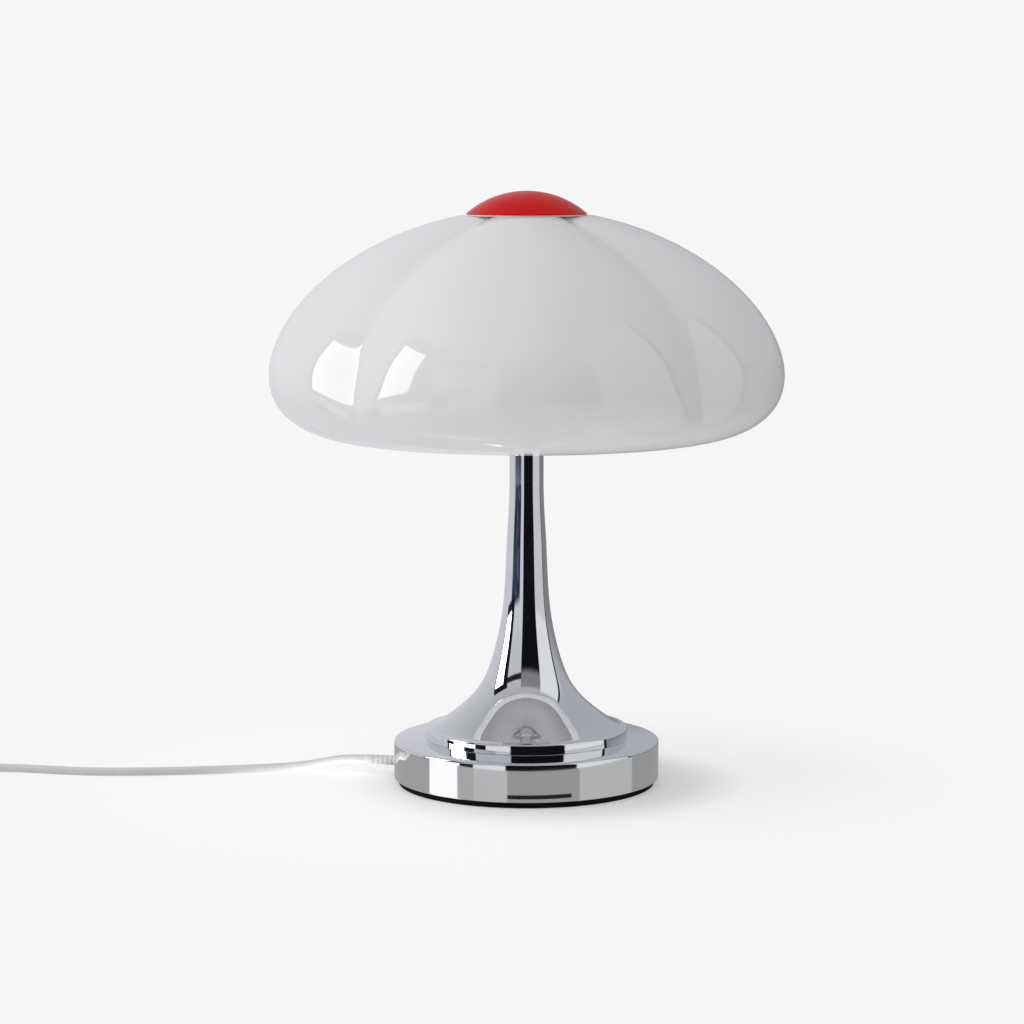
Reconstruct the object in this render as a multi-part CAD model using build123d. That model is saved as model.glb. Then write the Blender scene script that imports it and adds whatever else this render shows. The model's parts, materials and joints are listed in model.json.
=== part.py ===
from build123d import *
import math
import os

# A table lamp: an opal glass shade of four lobes on a chrome trumpet column and disc base.
# Millimetres, +Z up. The origin is the middle of the base, on the surface that it stands on.
# The front is -Y. The mains cord leaves the base low on its -X side.

# ---------------------------------------------------------------- running and assembly clearances
RUNNING_GAP = 0.06          # radial gap of a thread or pivot that turns
SLIP_GAP = 0.4              # radial gap round a part that is dropped into place
NEST_GAP = 0.2              # gap between a part and the shell that it lies inside

# ---------------------------------------------------------------- base
PAD_HEIGHT = 3.7
PAD_INSET = 2.5             # from the base cover's side in to the pad's outer edge
PAD_WIDTH = 19.5
PLATE_THICKNESS = 1.5
BASE_RADIUS = 78.0
BASE_WALL = 2.0
BASE_EDGE_TOP = 25.2        # height of the rim of the base cover's top face
BASE_EDGE_ROUND = 2.6
BASE_CROWN_TOP = 27.5       # height of the base cover's top face under the column
WEIGHT_INSET = 8.0          # from the base cover's side in to the weight
WEIGHT_SLOT_WIDTH = 9.0
WIRE_HOLE_RADIUS = 9.0      # hole for the cord up through the weight and the cover

# ---------------------------------------------------------------- screws that hold the base to the column
BASE_SCREW_COUNT = 3
BASE_SCREW_MARGIN = 4.5     # between a screw's head and the pad
BASE_SCREW_RADIUS = 2.5
BASE_SCREW_HEAD_RADIUS = 4.5
BASE_SCREW_HEAD_HEIGHT = 2.7

# ---------------------------------------------------------------- column
COLUMN_WALL = 1.5
COLUMN_RADIUS = 10.0        # of the straight upper tube
COLUMN_TOP = 208.0
COLUMN_END_WALL = 2.5
FOOT_RADIUS = 59.7
FOOT_HEIGHT = 6.0           # of the step that the trumpet ends in
FOOT_EDGE_ROUND = 1.2
FOOT_RIM_WIDTH = 3.6        # from the foot's side in to where the trumpet's curve starts
TRUMPET_FOOT_SLOPE = 0.5    # rise of the curve for each unit inwards, where it leaves the foot
TRUMPET_TOP = 178.0         # height where the straight tube starts to widen
# outline of the trumpet between the straight tube and the foot: radius and height
TRUMPET_POINTS = (
    (11.6, 143.0),
    (14.1, 103.0),
    (19.3, 77.5),
    (28.3, 56.5),
    (41.0, 43.6),
)
RING_SCREW_MARGIN = 9.0     # from the circle of the screws in to the ring's inner edge
RING_THICKNESS = 4.0

# ---------------------------------------------------------------- cord
CORD_RADIUS = 2.5
FLOOR_GAP = 0.1             # the cord lies this far above the surface
CORD_EXIT_ANGLE = 167.0     # degrees from +X, seen from above
CORD_EXIT_HEIGHT = 9.0
BUSHING_COLLAR_RADIUS = 4.4 # of the collar inside the base cover's wall
BUSHING_COLLAR_THICKNESS = 1.5
BUSHING_NECK_RADIUS = 3.2
BUSHING_LIP_RADIUS = 3.6    # of the lip outside the wall
BUSHING_LIP_THICKNESS = 0.6
BUSHING_BOOT_LENGTH = 20.0
BOOT_ROOT_RADIUS = 2.95
BOOT_TIP_RADIUS = 2.65
INNER_BEND_RADIUS = 25.0    # where the cord turns up into the column
END_RUN = 11.0              # length of the straight run at each end of a free stretch of cord
CLAMP_LENGTH = 10.0
CLAMP_WIDTH = 26.0
CLAMP_HEIGHT = 12.6
CLAMP_CORNER = 1.5
CLAMP_SETBACK = 14.3        # from the bushing's inner end to the middle of the cord clamp
CLAMP_SCREW_RADIUS = 1.5
CLAMP_SCREW_SPACING = 17.0
CLAMP_SCREW_LENGTH = 6.0
CLAMP_HEAD_RADIUS = 2.8
CLAMP_HEAD_HEIGHT = 1.8

# ---------------------------------------------------------------- threaded tube and lampholder
NIPPLE_RADIUS = 5.0
NIPPLE_BORE_RADIUS = 3.6
NIPPLE_LENGTH = 18.0
NUT_ACROSS_FLATS = 14.0
NUT_THICKNESS = 3.0
HOLDER_RADIUS = 14.0
HOLDER_WALL = 1.8
HOLDER_CAP_HEIGHT = 13.0
HOLDER_BLOCK_HEIGHT = 9.0
HOLDER_HEIGHT = 48.0
THREAD_SHELL_WALL = 0.6
CONTACT_WIDTH = 5.0
CONTACT_THICKNESS = 0.6
CONTACT_RISE = 1.8
TERMINAL_SCREW_RADIUS = 1.5
TERMINAL_SCREW_OFFSET = 7.0

# ---------------------------------------------------------------- bulb
BULB_CAP_RADIUS = 6.85
BULB_CAP_HEIGHT = 19.0
BULB_CAP_WALL = 0.5
BULB_TIP_HEIGHT = 3.0
BULB_TIP_RADIUS = 4.0
BULB_RADIUS = 22.5
BULB_NECK_RADIUS = 6.2
BULB_NECK_HEIGHT = 3.0      # of the straight neck, above the cap and also down inside it
BULB_WAIST_ANGLE = 48.0     # degrees below level, where the round globe goes over into the neck
BULB_HEIGHT = 76.0          # from the contact tip to the top of the globe
BULB_WALL = 0.9

# ---------------------------------------------------------------- yoke and stud that carry the shade
YOKE_STRAP = 2.0
YOKE_STRAP_WIDTH = 12.0
YOKE_HALF_WIDTH = 31.0
YOKE_CORNER = 8.0
SEAT_RADIUS = 24.0
SEAT_THICKNESS = 2.0
GASKET_THICKNESS = 1.8
STUD_RADIUS = 5.0
STUD_ABOVE_GLASS = 9.8
STUD_BELOW_YOKE = 3.4

# ---------------------------------------------------------------- glass shade
SHADE_RADIUS = 150.0
SHADE_WIDEST = 242.0        # height of the widest level
SHADE_DOME_RISE = 95.5      # the dome would close this far above the widest level
SHADE_TOP = 333.4           # height of the flat on top, which the dome is cut off at
SHADE_DOME_ROUNDNESS = 1.95
SHADE_DOME_FULLNESS = 1.75
SHADE_ROLL_WIDTH = 58.0     # how far the rim curls in under the widest level
SHADE_ROLL_DROP = 38.2
SHADE_ROLL_FULLNESS = 2.3
SHADE_RIM = 204.6           # height of the lower edge
SHADE_MOUTH_RADIUS = 104.0
GLASS_WALL = 3.0
LOBE_COUNT = 4
LOBE_OFFSET = 44.0          # each lobe is nearly round about an axis this far from the lamp's own
LOBE_OFFSET_AT_CAP = 0.52   # near the top the offset is this share of the lobe's radius
LOBE_OFFSET_BLEND = 6       # how sharply the one rule for the offset gives way to the other
LOBE_FADE_HEIGHT = 46.0     # the lobes grow from nothing over this height above the rim
CREASE_SOFTNESS = 5.0       # degrees
# places round one half of a lobe where its outline is set out, in degrees from the crease
CREASE_STEPS = (0.0, 4.0, 9.0, 17.0, 30.0, 45.0)
DOME_LEVELS = 9
ROLL_LEVELS = 6

# ---------------------------------------------------------------- red cap
CAP_RADIUS = 35.6
CAP_RISE = 13.5
CAP_WALL = 1.5
CAP_GASKET_THICKNESS = 0.8
CAP_GASKET_WIDTH = 6.0
INSERT_RADIUS = 8.0
INSERT_CLEARANCE = 1.2      # between the insert's foot and the glass

# ---------------------------------------------------------------- in-line switch
SWITCH_X = -360.0
SWITCH_Y = 20.0
SWITCH_LENGTH = 64.0
SWITCH_WIDTH = 26.0
SWITCH_BASE_HEIGHT = 8.0
SWITCH_COVER_HEIGHT = 8.0
SWITCH_WALL = 1.8
SWITCH_CORNER = 6.0
SWITCH_COLLAR_LENGTH = 8.0
SWITCH_COLLAR_RADIUS = 3.9
ROCKER_LENGTH = 21.0
ROCKER_WIDTH = 12.0
ROCKER_GAP = 0.5
ROCKER_ANGLE = 9.0          # tilt to each side of level
ROCKER_DEPTH = 3.0          # of its skirt below the cover's top
ROCKER_RISE = 2.4           # above the cover's top at its two ends
ROCKER_FOOT_WIDTH = 4.8     # of the rocker's lower edge
ROCKER_PIN_RADIUS = 1.2
ROCKER_PIN_SEAT = 2.4       # length of each end of the pin that sits in the cover
ROCKER_PIN_COVER = 1.0      # between the pin and the underside of the cover's top wall
ROCKER_EAR_WIDTH = 7.2      # of the two blocks in the cover that hold the pin
SWITCH_SCREW_RADIUS = 1.4
SWITCH_SCREW_SPACING = 50.0
SWITCH_SCREW_LENGTH = 10.0
SWITCH_HEAD_RADIUS = 2.4
SWITCH_HEAD_HEIGHT = 1.5
SWITCH_CONTACT_SIZE = (8.0, 5.0, 3.0)
SWITCH_CONTACT_SPACING = 30.0

# ---------------------------------------------------------------- put-away coil
COIL_X = -402.2
COIL_Y = -45.0
COIL_TURNS = 7.0
COIL_OUTER_RADIUS = 39.6    # at the middle of the cord
COIL_PITCH = 5.6            # from turn to turn, and from layer to layer
COIL_START_ANGLE = 180.0

# ---------------------------------------------------------------- plug
PLUG_TIP_X = -322.0         # free end of the pins
PLUG_Y = -99.0
PLUG_LENGTH = 35.5
PLUG_WIDTH = 16.0
PLUG_TAIL_WIDTH = 10.0
PLUG_THICKNESS = 13.6
PLUG_CORNER = 1.5
PIN_RADIUS = 2.0
PIN_LENGTH = 19.0
PIN_SPACING = 19.0
PIN_END_ROUND = 1.0
PLUG_SHOULDER_WIDTH = 27.0
PLUG_SHOULDER_LENGTH = 9.0
PLUG_GRIP_START = 18.0      # from the plug's face back to its slim grip
PLUG_BOOT_LENGTH = 24.0
PLUG_BOOT_ROOT_RADIUS = 4.4

# ---------------------------------------------------------------- levels worked out from the sizes above
PLATE_TOP = PAD_HEIGHT + PLATE_THICKNESS
PAD_RADIUS = BASE_RADIUS - PAD_INSET
WEIGHT_RADIUS = BASE_RADIUS - WEIGHT_INSET
BASE_SCREW_CIRCLE = PAD_RADIUS - PAD_WIDTH - BASE_SCREW_MARGIN - BASE_SCREW_HEAD_RADIUS
RING_INNER_RADIUS = BASE_SCREW_CIRCLE - RING_SCREW_MARGIN
CROWN_UNDERSIDE = BASE_CROWN_TOP - BASE_WALL
FOOT_TOP = BASE_CROWN_TOP + FOOT_HEIGHT
YOKE_BOTTOM = COLUMN_TOP
HOLDER_BOTTOM = YOKE_BOTTOM + YOKE_STRAP
BLOCK_BOTTOM = HOLDER_BOTTOM + HOLDER_CAP_HEIGHT - HOLDER_WALL
BLOCK_TOP = BLOCK_BOTTOM + HOLDER_BLOCK_HEIGHT
BULB_BOTTOM = BLOCK_TOP + CONTACT_THICKNESS + CONTACT_RISE
GLASS_INNER_TOP = SHADE_TOP - GLASS_WALL
SEAT_TOP = GLASS_INNER_TOP - GASKET_THICKNESS
YOKE_TOP = SEAT_TOP - SEAT_THICKNESS
STUD_TOP = SHADE_TOP + STUD_ABOVE_GLASS
CAP_RIM = SHADE_TOP + CAP_GASKET_THICKNESS
CORD_REST = CORD_RADIUS + FLOOR_GAP
LOBE_PITCH = 360.0 / LOBE_COUNT
BUSHING_START = BASE_RADIUS - BASE_WALL - NEST_GAP - BUSHING_COLLAR_THICKNESS
BUSHING_TIP = BASE_RADIUS + BUSHING_LIP_THICKNESS + BUSHING_BOOT_LENGTH
CLAMP_PLACE = BUSHING_START - CLAMP_SETBACK
SWITCH_TOP = SWITCH_BASE_HEIGHT + SWITCH_COVER_HEIGHT
SWITCH_CORD_HEIGHT = SWITCH_COLLAR_RADIUS + FLOOR_GAP
ROCKER_AXIS = SWITCH_TOP - SWITCH_WALL - ROCKER_PIN_COVER - ROCKER_PIN_RADIUS
ROCKER_PIN_LENGTH = ROCKER_WIDTH + 2 * (ROCKER_GAP + ROCKER_PIN_SEAT)
PLUG_AXIS = PLUG_THICKNESS / 2 + FLOOR_GAP

RADIAL = Rot(0, 0, CORD_EXIT_ANGLE)     # turns +X to the way that the cord leaves the base


# ---------------------------------------------------------------- small helpers
def disc(radius, low, high):
    """A round solid about the lamp's axis between two heights."""
    return Pos(0, 0, low) * Cylinder(radius, high - low, align=(Align.CENTER, Align.CENTER, Align.MIN))


def ring(outer, inner, low, high):
    """A disc with a round hole in its middle."""
    return disc(outer, low, high) - disc(inner, low, high)


def spun(*edges):
    """The solid that a closed outline in the XZ plane sweeps about the lamp's axis."""
    return revolve(make_face(Wire(list(edges))), Axis.Z)


def spun_polygon(points):
    """The solid that a polygon of radius and height points sweeps about the lamp's axis."""
    corners = [(radius, 0, height) for radius, height in points]
    return revolve(make_face(Polyline(*corners, close=True)), Axis.Z)


def hexagon_nut(bore, low, high):
    """A hexagon nut about the lamp's axis."""
    outline = RegularPolygon(NUT_ACROSS_FLATS / 2, 6, major_radius=False)
    return Pos(0, 0, low) * extrude(outline, high - low) - disc(bore, low, high)


def box_between(low, high):
    """A block between its lowest and highest corners."""
    sizes = [top - bottom for bottom, top in zip(low, high)]
    return Pos(*low) * Box(*sizes, align=(Align.MIN, Align.MIN, Align.MIN))


def along_x(solid):
    """Turn a solid that stands on the XY plane so that it points along +X."""
    return Rot(0, 90, 0) * solid


def cone_along_x(root, tip, length):
    """A round taper from the origin along +X."""
    return along_x(Cone(root, tip, length, align=(Align.CENTER, Align.CENTER, Align.MIN)))


def screw_circle():
    """Places of the base screws, clear of the weight's slot."""
    step = 360.0 / BASE_SCREW_COUNT
    turns = [CORD_EXIT_ANGLE + step * (number + 0.5) for number in range(BASE_SCREW_COUNT)]
    return [Rot(0, 0, turn) * Pos(BASE_SCREW_CIRCLE, 0, 0) for turn in turns]


def screw_holes(radius, low, high):
    """Round solids at the base screws' places, to cut holes with."""
    return [place * disc(radius, low, high) for place in screw_circle()]


# ---------------------------------------------------------------- base
def make_foot_pad():
    return ring(PAD_RADIUS, PAD_RADIUS - PAD_WIDTH, 0, PAD_HEIGHT)


def make_base_plate():
    """The plate that closes the base, with a notch round the bushing's inner collar."""
    plate = disc(BASE_RADIUS - BASE_WALL - NEST_GAP, PAD_HEIGHT, PLATE_TOP)
    half_notch = BUSHING_COLLAR_RADIUS + NEST_GAP
    low = (BUSHING_START - NEST_GAP, -half_notch, PAD_HEIGHT)
    plate -= RADIAL * box_between(low, (BASE_RADIUS, half_notch, PLATE_TOP))
    return plate - screw_holes(BASE_SCREW_RADIUS + NEST_GAP, PAD_HEIGHT, PLATE_TOP)


def make_base_weight():
    shoulder = FOOT_RADIUS - BASE_WALL
    edge_top = BASE_EDGE_TOP - BASE_WALL - NEST_GAP
    profile = [(0, PLATE_TOP), (WEIGHT_RADIUS, PLATE_TOP), (WEIGHT_RADIUS, edge_top)]
    profile += [(shoulder, CROWN_UNDERSIDE), (0, CROWN_UNDERSIDE)]
    weight = spun_polygon(profile) - disc(WIRE_HOLE_RADIUS, PLATE_TOP, CROWN_UNDERSIDE)
    half_slot = WEIGHT_SLOT_WIDTH / 2
    slot = box_between((0, -half_slot, PLATE_TOP), (WEIGHT_RADIUS, half_slot, CROWN_UNDERSIDE))
    half_clamp = CLAMP_WIDTH / 2 + SLIP_GAP
    clamp_inner = CLAMP_PLACE - CLAMP_LENGTH / 2 - SLIP_GAP
    room = box_between((clamp_inner, -half_clamp, PLATE_TOP), (WEIGHT_RADIUS, half_clamp, CROWN_UNDERSIDE))
    weight -= RADIAL * (slot + room)
    return weight - screw_holes(BASE_SCREW_RADIUS + NEST_GAP, PLATE_TOP, CROWN_UNDERSIDE)


def base_shell_outline(inset):
    """The base cover's outline, moved in by a wall thickness."""
    radius = BASE_RADIUS - inset
    edge = BASE_EDGE_TOP - inset
    crown = BASE_CROWN_TOP - inset
    points = [(0, PAD_HEIGHT), (radius, PAD_HEIGHT), (radius, edge), (FOOT_RADIUS - inset, crown), (0, crown)]
    return spun_polygon(points)


def make_base_cover():
    outside = base_shell_outline(0)
    top_edge = outside.edges().filter_by(GeomType.CIRCLE).group_by(Axis.Z)[1]
    outside = fillet(top_edge, BASE_EDGE_ROUND)
    cover = outside - base_shell_outline(BASE_WALL)
    cover -= disc(WIRE_HOLE_RADIUS, CROWN_UNDERSIDE, BASE_CROWN_TOP)
    cover -= screw_holes(BASE_SCREW_RADIUS + NEST_GAP, CROWN_UNDERSIDE, BASE_CROWN_TOP)
    hole = along_x(disc(BUSHING_NECK_RADIUS, BASE_RADIUS - 2 * BASE_WALL, BASE_RADIUS + BASE_WALL))
    return cover - RADIAL * Pos(0, 0, CORD_EXIT_HEIGHT) * hole


def make_base_screws():
    thread_top = BASE_CROWN_TOP + RING_THICKNESS - NEST_GAP
    screw = disc(BASE_SCREW_RADIUS, PAD_HEIGHT, thread_top)
    screw += disc(BASE_SCREW_HEAD_RADIUS, PAD_HEIGHT - BASE_SCREW_HEAD_HEIGHT, PAD_HEIGHT)
    return Compound([place * screw for place in screw_circle()])


# ---------------------------------------------------------------- cord entry
def make_cord_bushing():
    """Moulded bushing: collar inside the wall, neck, small lip outside it and a slim tapered boot."""
    lip_end = BASE_RADIUS + BUSHING_LIP_THICKNESS
    bushing = disc(BUSHING_COLLAR_RADIUS, BUSHING_START, BUSHING_START + BUSHING_COLLAR_THICKNESS)
    bushing += disc(BUSHING_NECK_RADIUS, BUSHING_START, BASE_RADIUS)
    bushing += disc(BUSHING_LIP_RADIUS, BASE_RADIUS, lip_end)
    bushing = along_x(bushing)
    boot = cone_along_x(BOOT_ROOT_RADIUS, BOOT_TIP_RADIUS, BUSHING_BOOT_LENGTH)
    bushing += Pos(lip_end, 0, 0) * boot
    return RADIAL * Pos(0, 0, CORD_EXIT_HEIGHT) * bushing


def make_cord_clamp():
    """A plastic block on the base plate that grips the cord inside the base."""
    low = (-CLAMP_LENGTH / 2, -CLAMP_WIDTH / 2, PLATE_TOP)
    high = (CLAMP_LENGTH / 2, CLAMP_WIDTH / 2, PLATE_TOP + CLAMP_HEIGHT)
    block = fillet(box_between(low, high).edges().filter_by(Axis.Z), CLAMP_CORNER)
    block -= Pos(0, 0, CORD_EXIT_HEIGHT) * along_x(Cylinder(CORD_RADIUS, 2 * CLAMP_LENGTH))
    for side in (-1, 1):
        hole = disc(CLAMP_SCREW_RADIUS, PLATE_TOP + CLAMP_HEIGHT - CLAMP_SCREW_LENGTH, PLATE_TOP + CLAMP_HEIGHT)
        block -= Pos(0, side * CLAMP_SCREW_SPACING / 2, 0) * hole
    return RADIAL * Pos(CLAMP_PLACE, 0, 0) * block


def make_clamp_screws():
    top = PLATE_TOP + CLAMP_HEIGHT
    screw = disc(CLAMP_SCREW_RADIUS, top - CLAMP_SCREW_LENGTH, top)
    screw += disc(CLAMP_HEAD_RADIUS, top, top + CLAMP_HEAD_HEIGHT)
    places = [RADIAL * Pos(CLAMP_PLACE, side * CLAMP_SCREW_SPACING / 2, 0) for side in (-1, 1)]
    return Compound([place * screw for place in places])


# ---------------------------------------------------------------- column
def trumpet_outline():
    """The trumpet's curve, from the foot's upper edge up to the straight tube."""
    foot = (FOOT_RADIUS - FOOT_RIM_WIDTH, 0, FOOT_TOP)
    points = [(radius, 0, height) for radius, height in reversed(TRUMPET_POINTS)]
    tangents = ((-1, 0, TRUMPET_FOOT_SLOPE), (0, 0, 1))
    return Spline(foot, *points, (COLUMN_RADIUS, 0, TRUMPET_TOP), tangents=tangents)


def inset_curve(curve, distance, count=12):
    """The same curve moved square to itself, towards the lamp's axis and down."""
    points = []
    for step in range(count + 1):
        share = step / count
        place = curve @ share
        along = curve % share
        points.append(place + Vector(-along.Z, 0, along.X) * distance)
    return Spline(*points, tangents=(curve % 0, curve % 1))


def make_column():
    outside = trumpet_outline()
    inside = inset_curve(outside, COLUMN_WALL)
    foot_inner = FOOT_RADIUS - COLUMN_WALL
    top_inside = COLUMN_TOP - COLUMN_END_WALL
    bore = COLUMN_RADIUS - COLUMN_WALL
    start, end = inside @ 0, inside @ 1
    edges = [outside]
    edges += Polyline(
        (COLUMN_RADIUS, 0, TRUMPET_TOP),
        (COLUMN_RADIUS, 0, COLUMN_TOP),
        (NIPPLE_RADIUS, 0, COLUMN_TOP),
        (NIPPLE_RADIUS, 0, top_inside),
        (bore, 0, top_inside),
        (end.X, 0, end.Z),
    ).edges()
    edges.append(inside)
    edges += Polyline(
        (start.X, 0, start.Z),
        (foot_inner, 0, start.Z),
        (foot_inner, 0, BASE_CROWN_TOP),
        (FOOT_RADIUS, 0, BASE_CROWN_TOP),
        (FOOT_RADIUS, 0, FOOT_TOP - FOOT_EDGE_ROUND),
    ).edges()
    rounding = JernArc((FOOT_RADIUS, FOOT_TOP - FOOT_EDGE_ROUND), (0, 1), FOOT_EDGE_ROUND, 90)
    edges += (Plane.XZ * rounding).edges()
    foot = outside @ 0
    edges += Polyline((FOOT_RADIUS - FOOT_EDGE_ROUND, 0, FOOT_TOP), (foot.X, 0, foot.Z)).edges()
    return spun(*edges)


def make_column_ring():
    """The steel ring inside the column's foot that the base screws pull on."""
    outer = FOOT_RADIUS - COLUMN_WALL - NEST_GAP
    top = BASE_CROWN_TOP + RING_THICKNESS
    body = ring(outer, RING_INNER_RADIUS, BASE_CROWN_TOP, top)
    return body - screw_holes(BASE_SCREW_RADIUS, BASE_CROWN_TOP, top)


def make_inner_cord():
    """The cord inside the lamp: along the weight's slot and up the column into the lampholder."""
    way = Polyline((BUSHING_START, 0, CORD_EXIT_HEIGHT), (INNER_BEND_RADIUS, 0, CORD_EXIT_HEIGHT)).edges()
    bend_end = (0, 0, CORD_EXIT_HEIGHT + INNER_BEND_RADIUS)
    way += [Edge.make_tangent_arc((INNER_BEND_RADIUS, 0, CORD_EXIT_HEIGHT), (-1, 0, 0), bend_end)]
    way += Polyline(bend_end, (0, 0, BLOCK_BOTTOM)).edges()
    start = Plane((BUSHING_START, 0, CORD_EXIT_HEIGHT), z_dir=(-1, 0, 0))
    return RADIAL * sweep(start * Circle(CORD_RADIUS), path=Wire(way))


# ---------------------------------------------------------------- threaded tube and lampholder
def make_nipple():
    top = HOLDER_BOTTOM + HOLDER_WALL + NUT_THICKNESS
    return ring(NIPPLE_RADIUS, NIPPLE_BORE_RADIUS, top - NIPPLE_LENGTH, top)


def make_nipple_nuts():
    """One nut inside the column's top and one inside the lampholder's cap."""
    in_column = COLUMN_TOP - COLUMN_END_WALL - NUT_THICKNESS
    in_holder = HOLDER_BOTTOM + HOLDER_WALL
    nuts = [hexagon_nut(NIPPLE_RADIUS, low, low + NUT_THICKNESS) for low in (in_column, in_holder)]
    return Compound(nuts)


def make_holder_cap():
    top = HOLDER_BOTTOM + HOLDER_CAP_HEIGHT
    cup = disc(HOLDER_RADIUS, HOLDER_BOTTOM, top)
    cup = chamfer(cup.edges().group_by(Axis.Z)[0], HOLDER_WALL)
    cup -= disc(HOLDER_RADIUS - HOLDER_WALL, HOLDER_BOTTOM + HOLDER_WALL, top)
    return cup - disc(NIPPLE_RADIUS, HOLDER_BOTTOM, HOLDER_BOTTOM + HOLDER_WALL)


def make_holder_block():
    """Insulating block that carries the contacts and the brass shell."""
    return disc(HOLDER_RADIUS - HOLDER_WALL, BLOCK_BOTTOM, BLOCK_TOP) - terminal_holes()


def terminal_holes():
    low = BLOCK_BOTTOM + HOLDER_BLOCK_HEIGHT / 3
    hole = disc(TERMINAL_SCREW_RADIUS, low, BLOCK_TOP)
    return [Pos(0, side * TERMINAL_SCREW_OFFSET, 0) * hole for side in (-1, 1)]


def make_holder_screws():
    """The two terminal screws, sunk in the block's top."""
    return Compound(terminal_holes())


def make_holder_sleeve():
    low = HOLDER_BOTTOM + HOLDER_CAP_HEIGHT
    return ring(HOLDER_RADIUS, HOLDER_RADIUS - HOLDER_WALL, low, HOLDER_BOTTOM + HOLDER_HEIGHT)


def make_holder_thread():
    """The brass screw shell that the bulb's cap turns in, with its flange on the block."""
    inner = BULB_CAP_RADIUS + RUNNING_GAP
    outer = inner + THREAD_SHELL_WALL
    shell = ring(outer, inner, BLOCK_TOP, BULB_BOTTOM + BULB_TIP_HEIGHT + BULB_CAP_HEIGHT - NEST_GAP)
    return shell + ring(HOLDER_RADIUS - HOLDER_WALL, inner, BLOCK_TOP, BLOCK_TOP + THREAD_SHELL_WALL)


def make_holder_contact():
    """The sprung centre contact, a bent brass tongue."""
    half = CONTACT_WIDTH / 2
    rise = BLOCK_TOP + CONTACT_RISE
    tongue = box_between((-half, -half, BLOCK_TOP), (half, half, BLOCK_TOP + CONTACT_THICKNESS))
    tongue += box_between((-half, -half, BLOCK_TOP), (CONTACT_THICKNESS - half, half, rise))
    return tongue + box_between((-half, -half, rise), (half, half, rise + CONTACT_THICKNESS))


# ---------------------------------------------------------------- bulb
def make_bulb_tip():
    """Contact tip and the black insulator that it sits in."""
    return spun_polygon([
        (0, BULB_BOTTOM),
        (BULB_TIP_RADIUS / 2, BULB_BOTTOM),
        (BULB_CAP_RADIUS - BULB_CAP_WALL, BULB_BOTTOM + BULB_TIP_HEIGHT),
        (0, BULB_BOTTOM + BULB_TIP_HEIGHT),
    ])


def make_bulb_cap():
    low = BULB_BOTTOM + BULB_TIP_HEIGHT
    cap = disc(BULB_CAP_RADIUS, low, low + BULB_CAP_HEIGHT)
    return cap - disc(BULB_CAP_RADIUS - BULB_CAP_WALL, low + BULB_CAP_WALL, low + BULB_CAP_HEIGHT)


def globe_outline(inset):
    """One half of the bulb's outline, for a solid that is smaller all over by the inset."""
    centre = BULB_BOTTOM + BULB_HEIGHT - BULB_RADIUS
    radius = BULB_RADIUS - inset
    neck = BULB_NECK_RADIUS - inset
    cap_top = BULB_BOTTOM + BULB_TIP_HEIGHT + BULB_CAP_HEIGHT
    low = cap_top - BULB_NECK_HEIGHT
    angle = math.radians(BULB_WAIST_ANGLE)
    waist = Vector(radius * math.cos(angle), 0, centre - radius * math.sin(angle))
    tangent = (math.sin(angle), 0, math.cos(angle))
    start = (neck, 0, cap_top + BULB_NECK_HEIGHT)
    flare = Spline(start, waist, tangents=((0, 0, 1), tangent))
    dome = Edge.make_tangent_arc(waist, tangent, (0, 0, centre + radius))
    sides = Polyline((0, 0, centre + radius), (0, 0, low), (neck, 0, low), start).edges()
    return spun(flare, dome, *sides)


def make_bulb_globe():
    return globe_outline(0) - globe_outline(BULB_WALL)


# ---------------------------------------------------------------- yoke, stud and seat
def make_yoke():
    """A flat strap bent into a closed frame round the lampholder and the bulb."""
    height = YOKE_TOP - YOKE_BOTTOM
    middle = (YOKE_TOP + YOKE_BOTTOM) / 2
    outside = RectangleRounded(2 * YOKE_HALF_WIDTH, height, YOKE_CORNER)
    inner_width = 2 * (YOKE_HALF_WIDTH - YOKE_STRAP)
    inside = RectangleRounded(inner_width, height - 2 * YOKE_STRAP, YOKE_CORNER - YOKE_STRAP)
    strap = extrude(outside - inside, YOKE_STRAP_WIDTH / 2, both=True)
    strap = Pos(0, 0, middle) * Rot(90, 0, 0) * strap
    strap -= disc(NIPPLE_RADIUS, YOKE_BOTTOM, HOLDER_BOTTOM)
    return strap - disc(STUD_RADIUS, YOKE_TOP - YOKE_STRAP, YOKE_TOP)


def make_top_stud():
    return disc(STUD_RADIUS, YOKE_TOP - YOKE_STRAP - STUD_BELOW_YOKE, STUD_TOP)


def make_stud_nut():
    top = YOKE_TOP - YOKE_STRAP
    return hexagon_nut(STUD_RADIUS, top - NUT_THICKNESS, top)


def make_shade_seat():
    return ring(SEAT_RADIUS, STUD_RADIUS, YOKE_TOP, SEAT_TOP)


def make_seat_gasket():
    return ring(SEAT_RADIUS, STUD_RADIUS + SLIP_GAP, SEAT_TOP, GLASS_INNER_TOP)


# ---------------------------------------------------------------- glass shade
def shade_level(angle, inset):
    """Lobe radius and height on the shade's outline: 90 at the top, 0 at the widest level, below it negative."""
    up = math.sin(math.radians(abs(angle)))
    out = math.cos(math.radians(abs(angle)))
    if angle >= 0:
        radius = (SHADE_RADIUS - inset) * out ** (2 / SHADE_DOME_ROUNDNESS)
        return radius, SHADE_WIDEST + (SHADE_DOME_RISE - inset) * up ** (2 / SHADE_DOME_FULLNESS)
    power = 2 / SHADE_ROLL_FULLNESS
    centre = SHADE_RADIUS - SHADE_ROLL_WIDTH
    radius = centre + (SHADE_ROLL_WIDTH - inset) * out ** power
    return radius, SHADE_WIDEST - (SHADE_ROLL_DROP - inset) * up ** power


def dome_angle(height, inset):
    """The outline's angle at a height above the widest level."""
    share = (height - SHADE_WIDEST) / (SHADE_DOME_RISE - inset)
    return math.degrees(math.asin(share ** (SHADE_DOME_FULLNESS / 2)))


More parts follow.
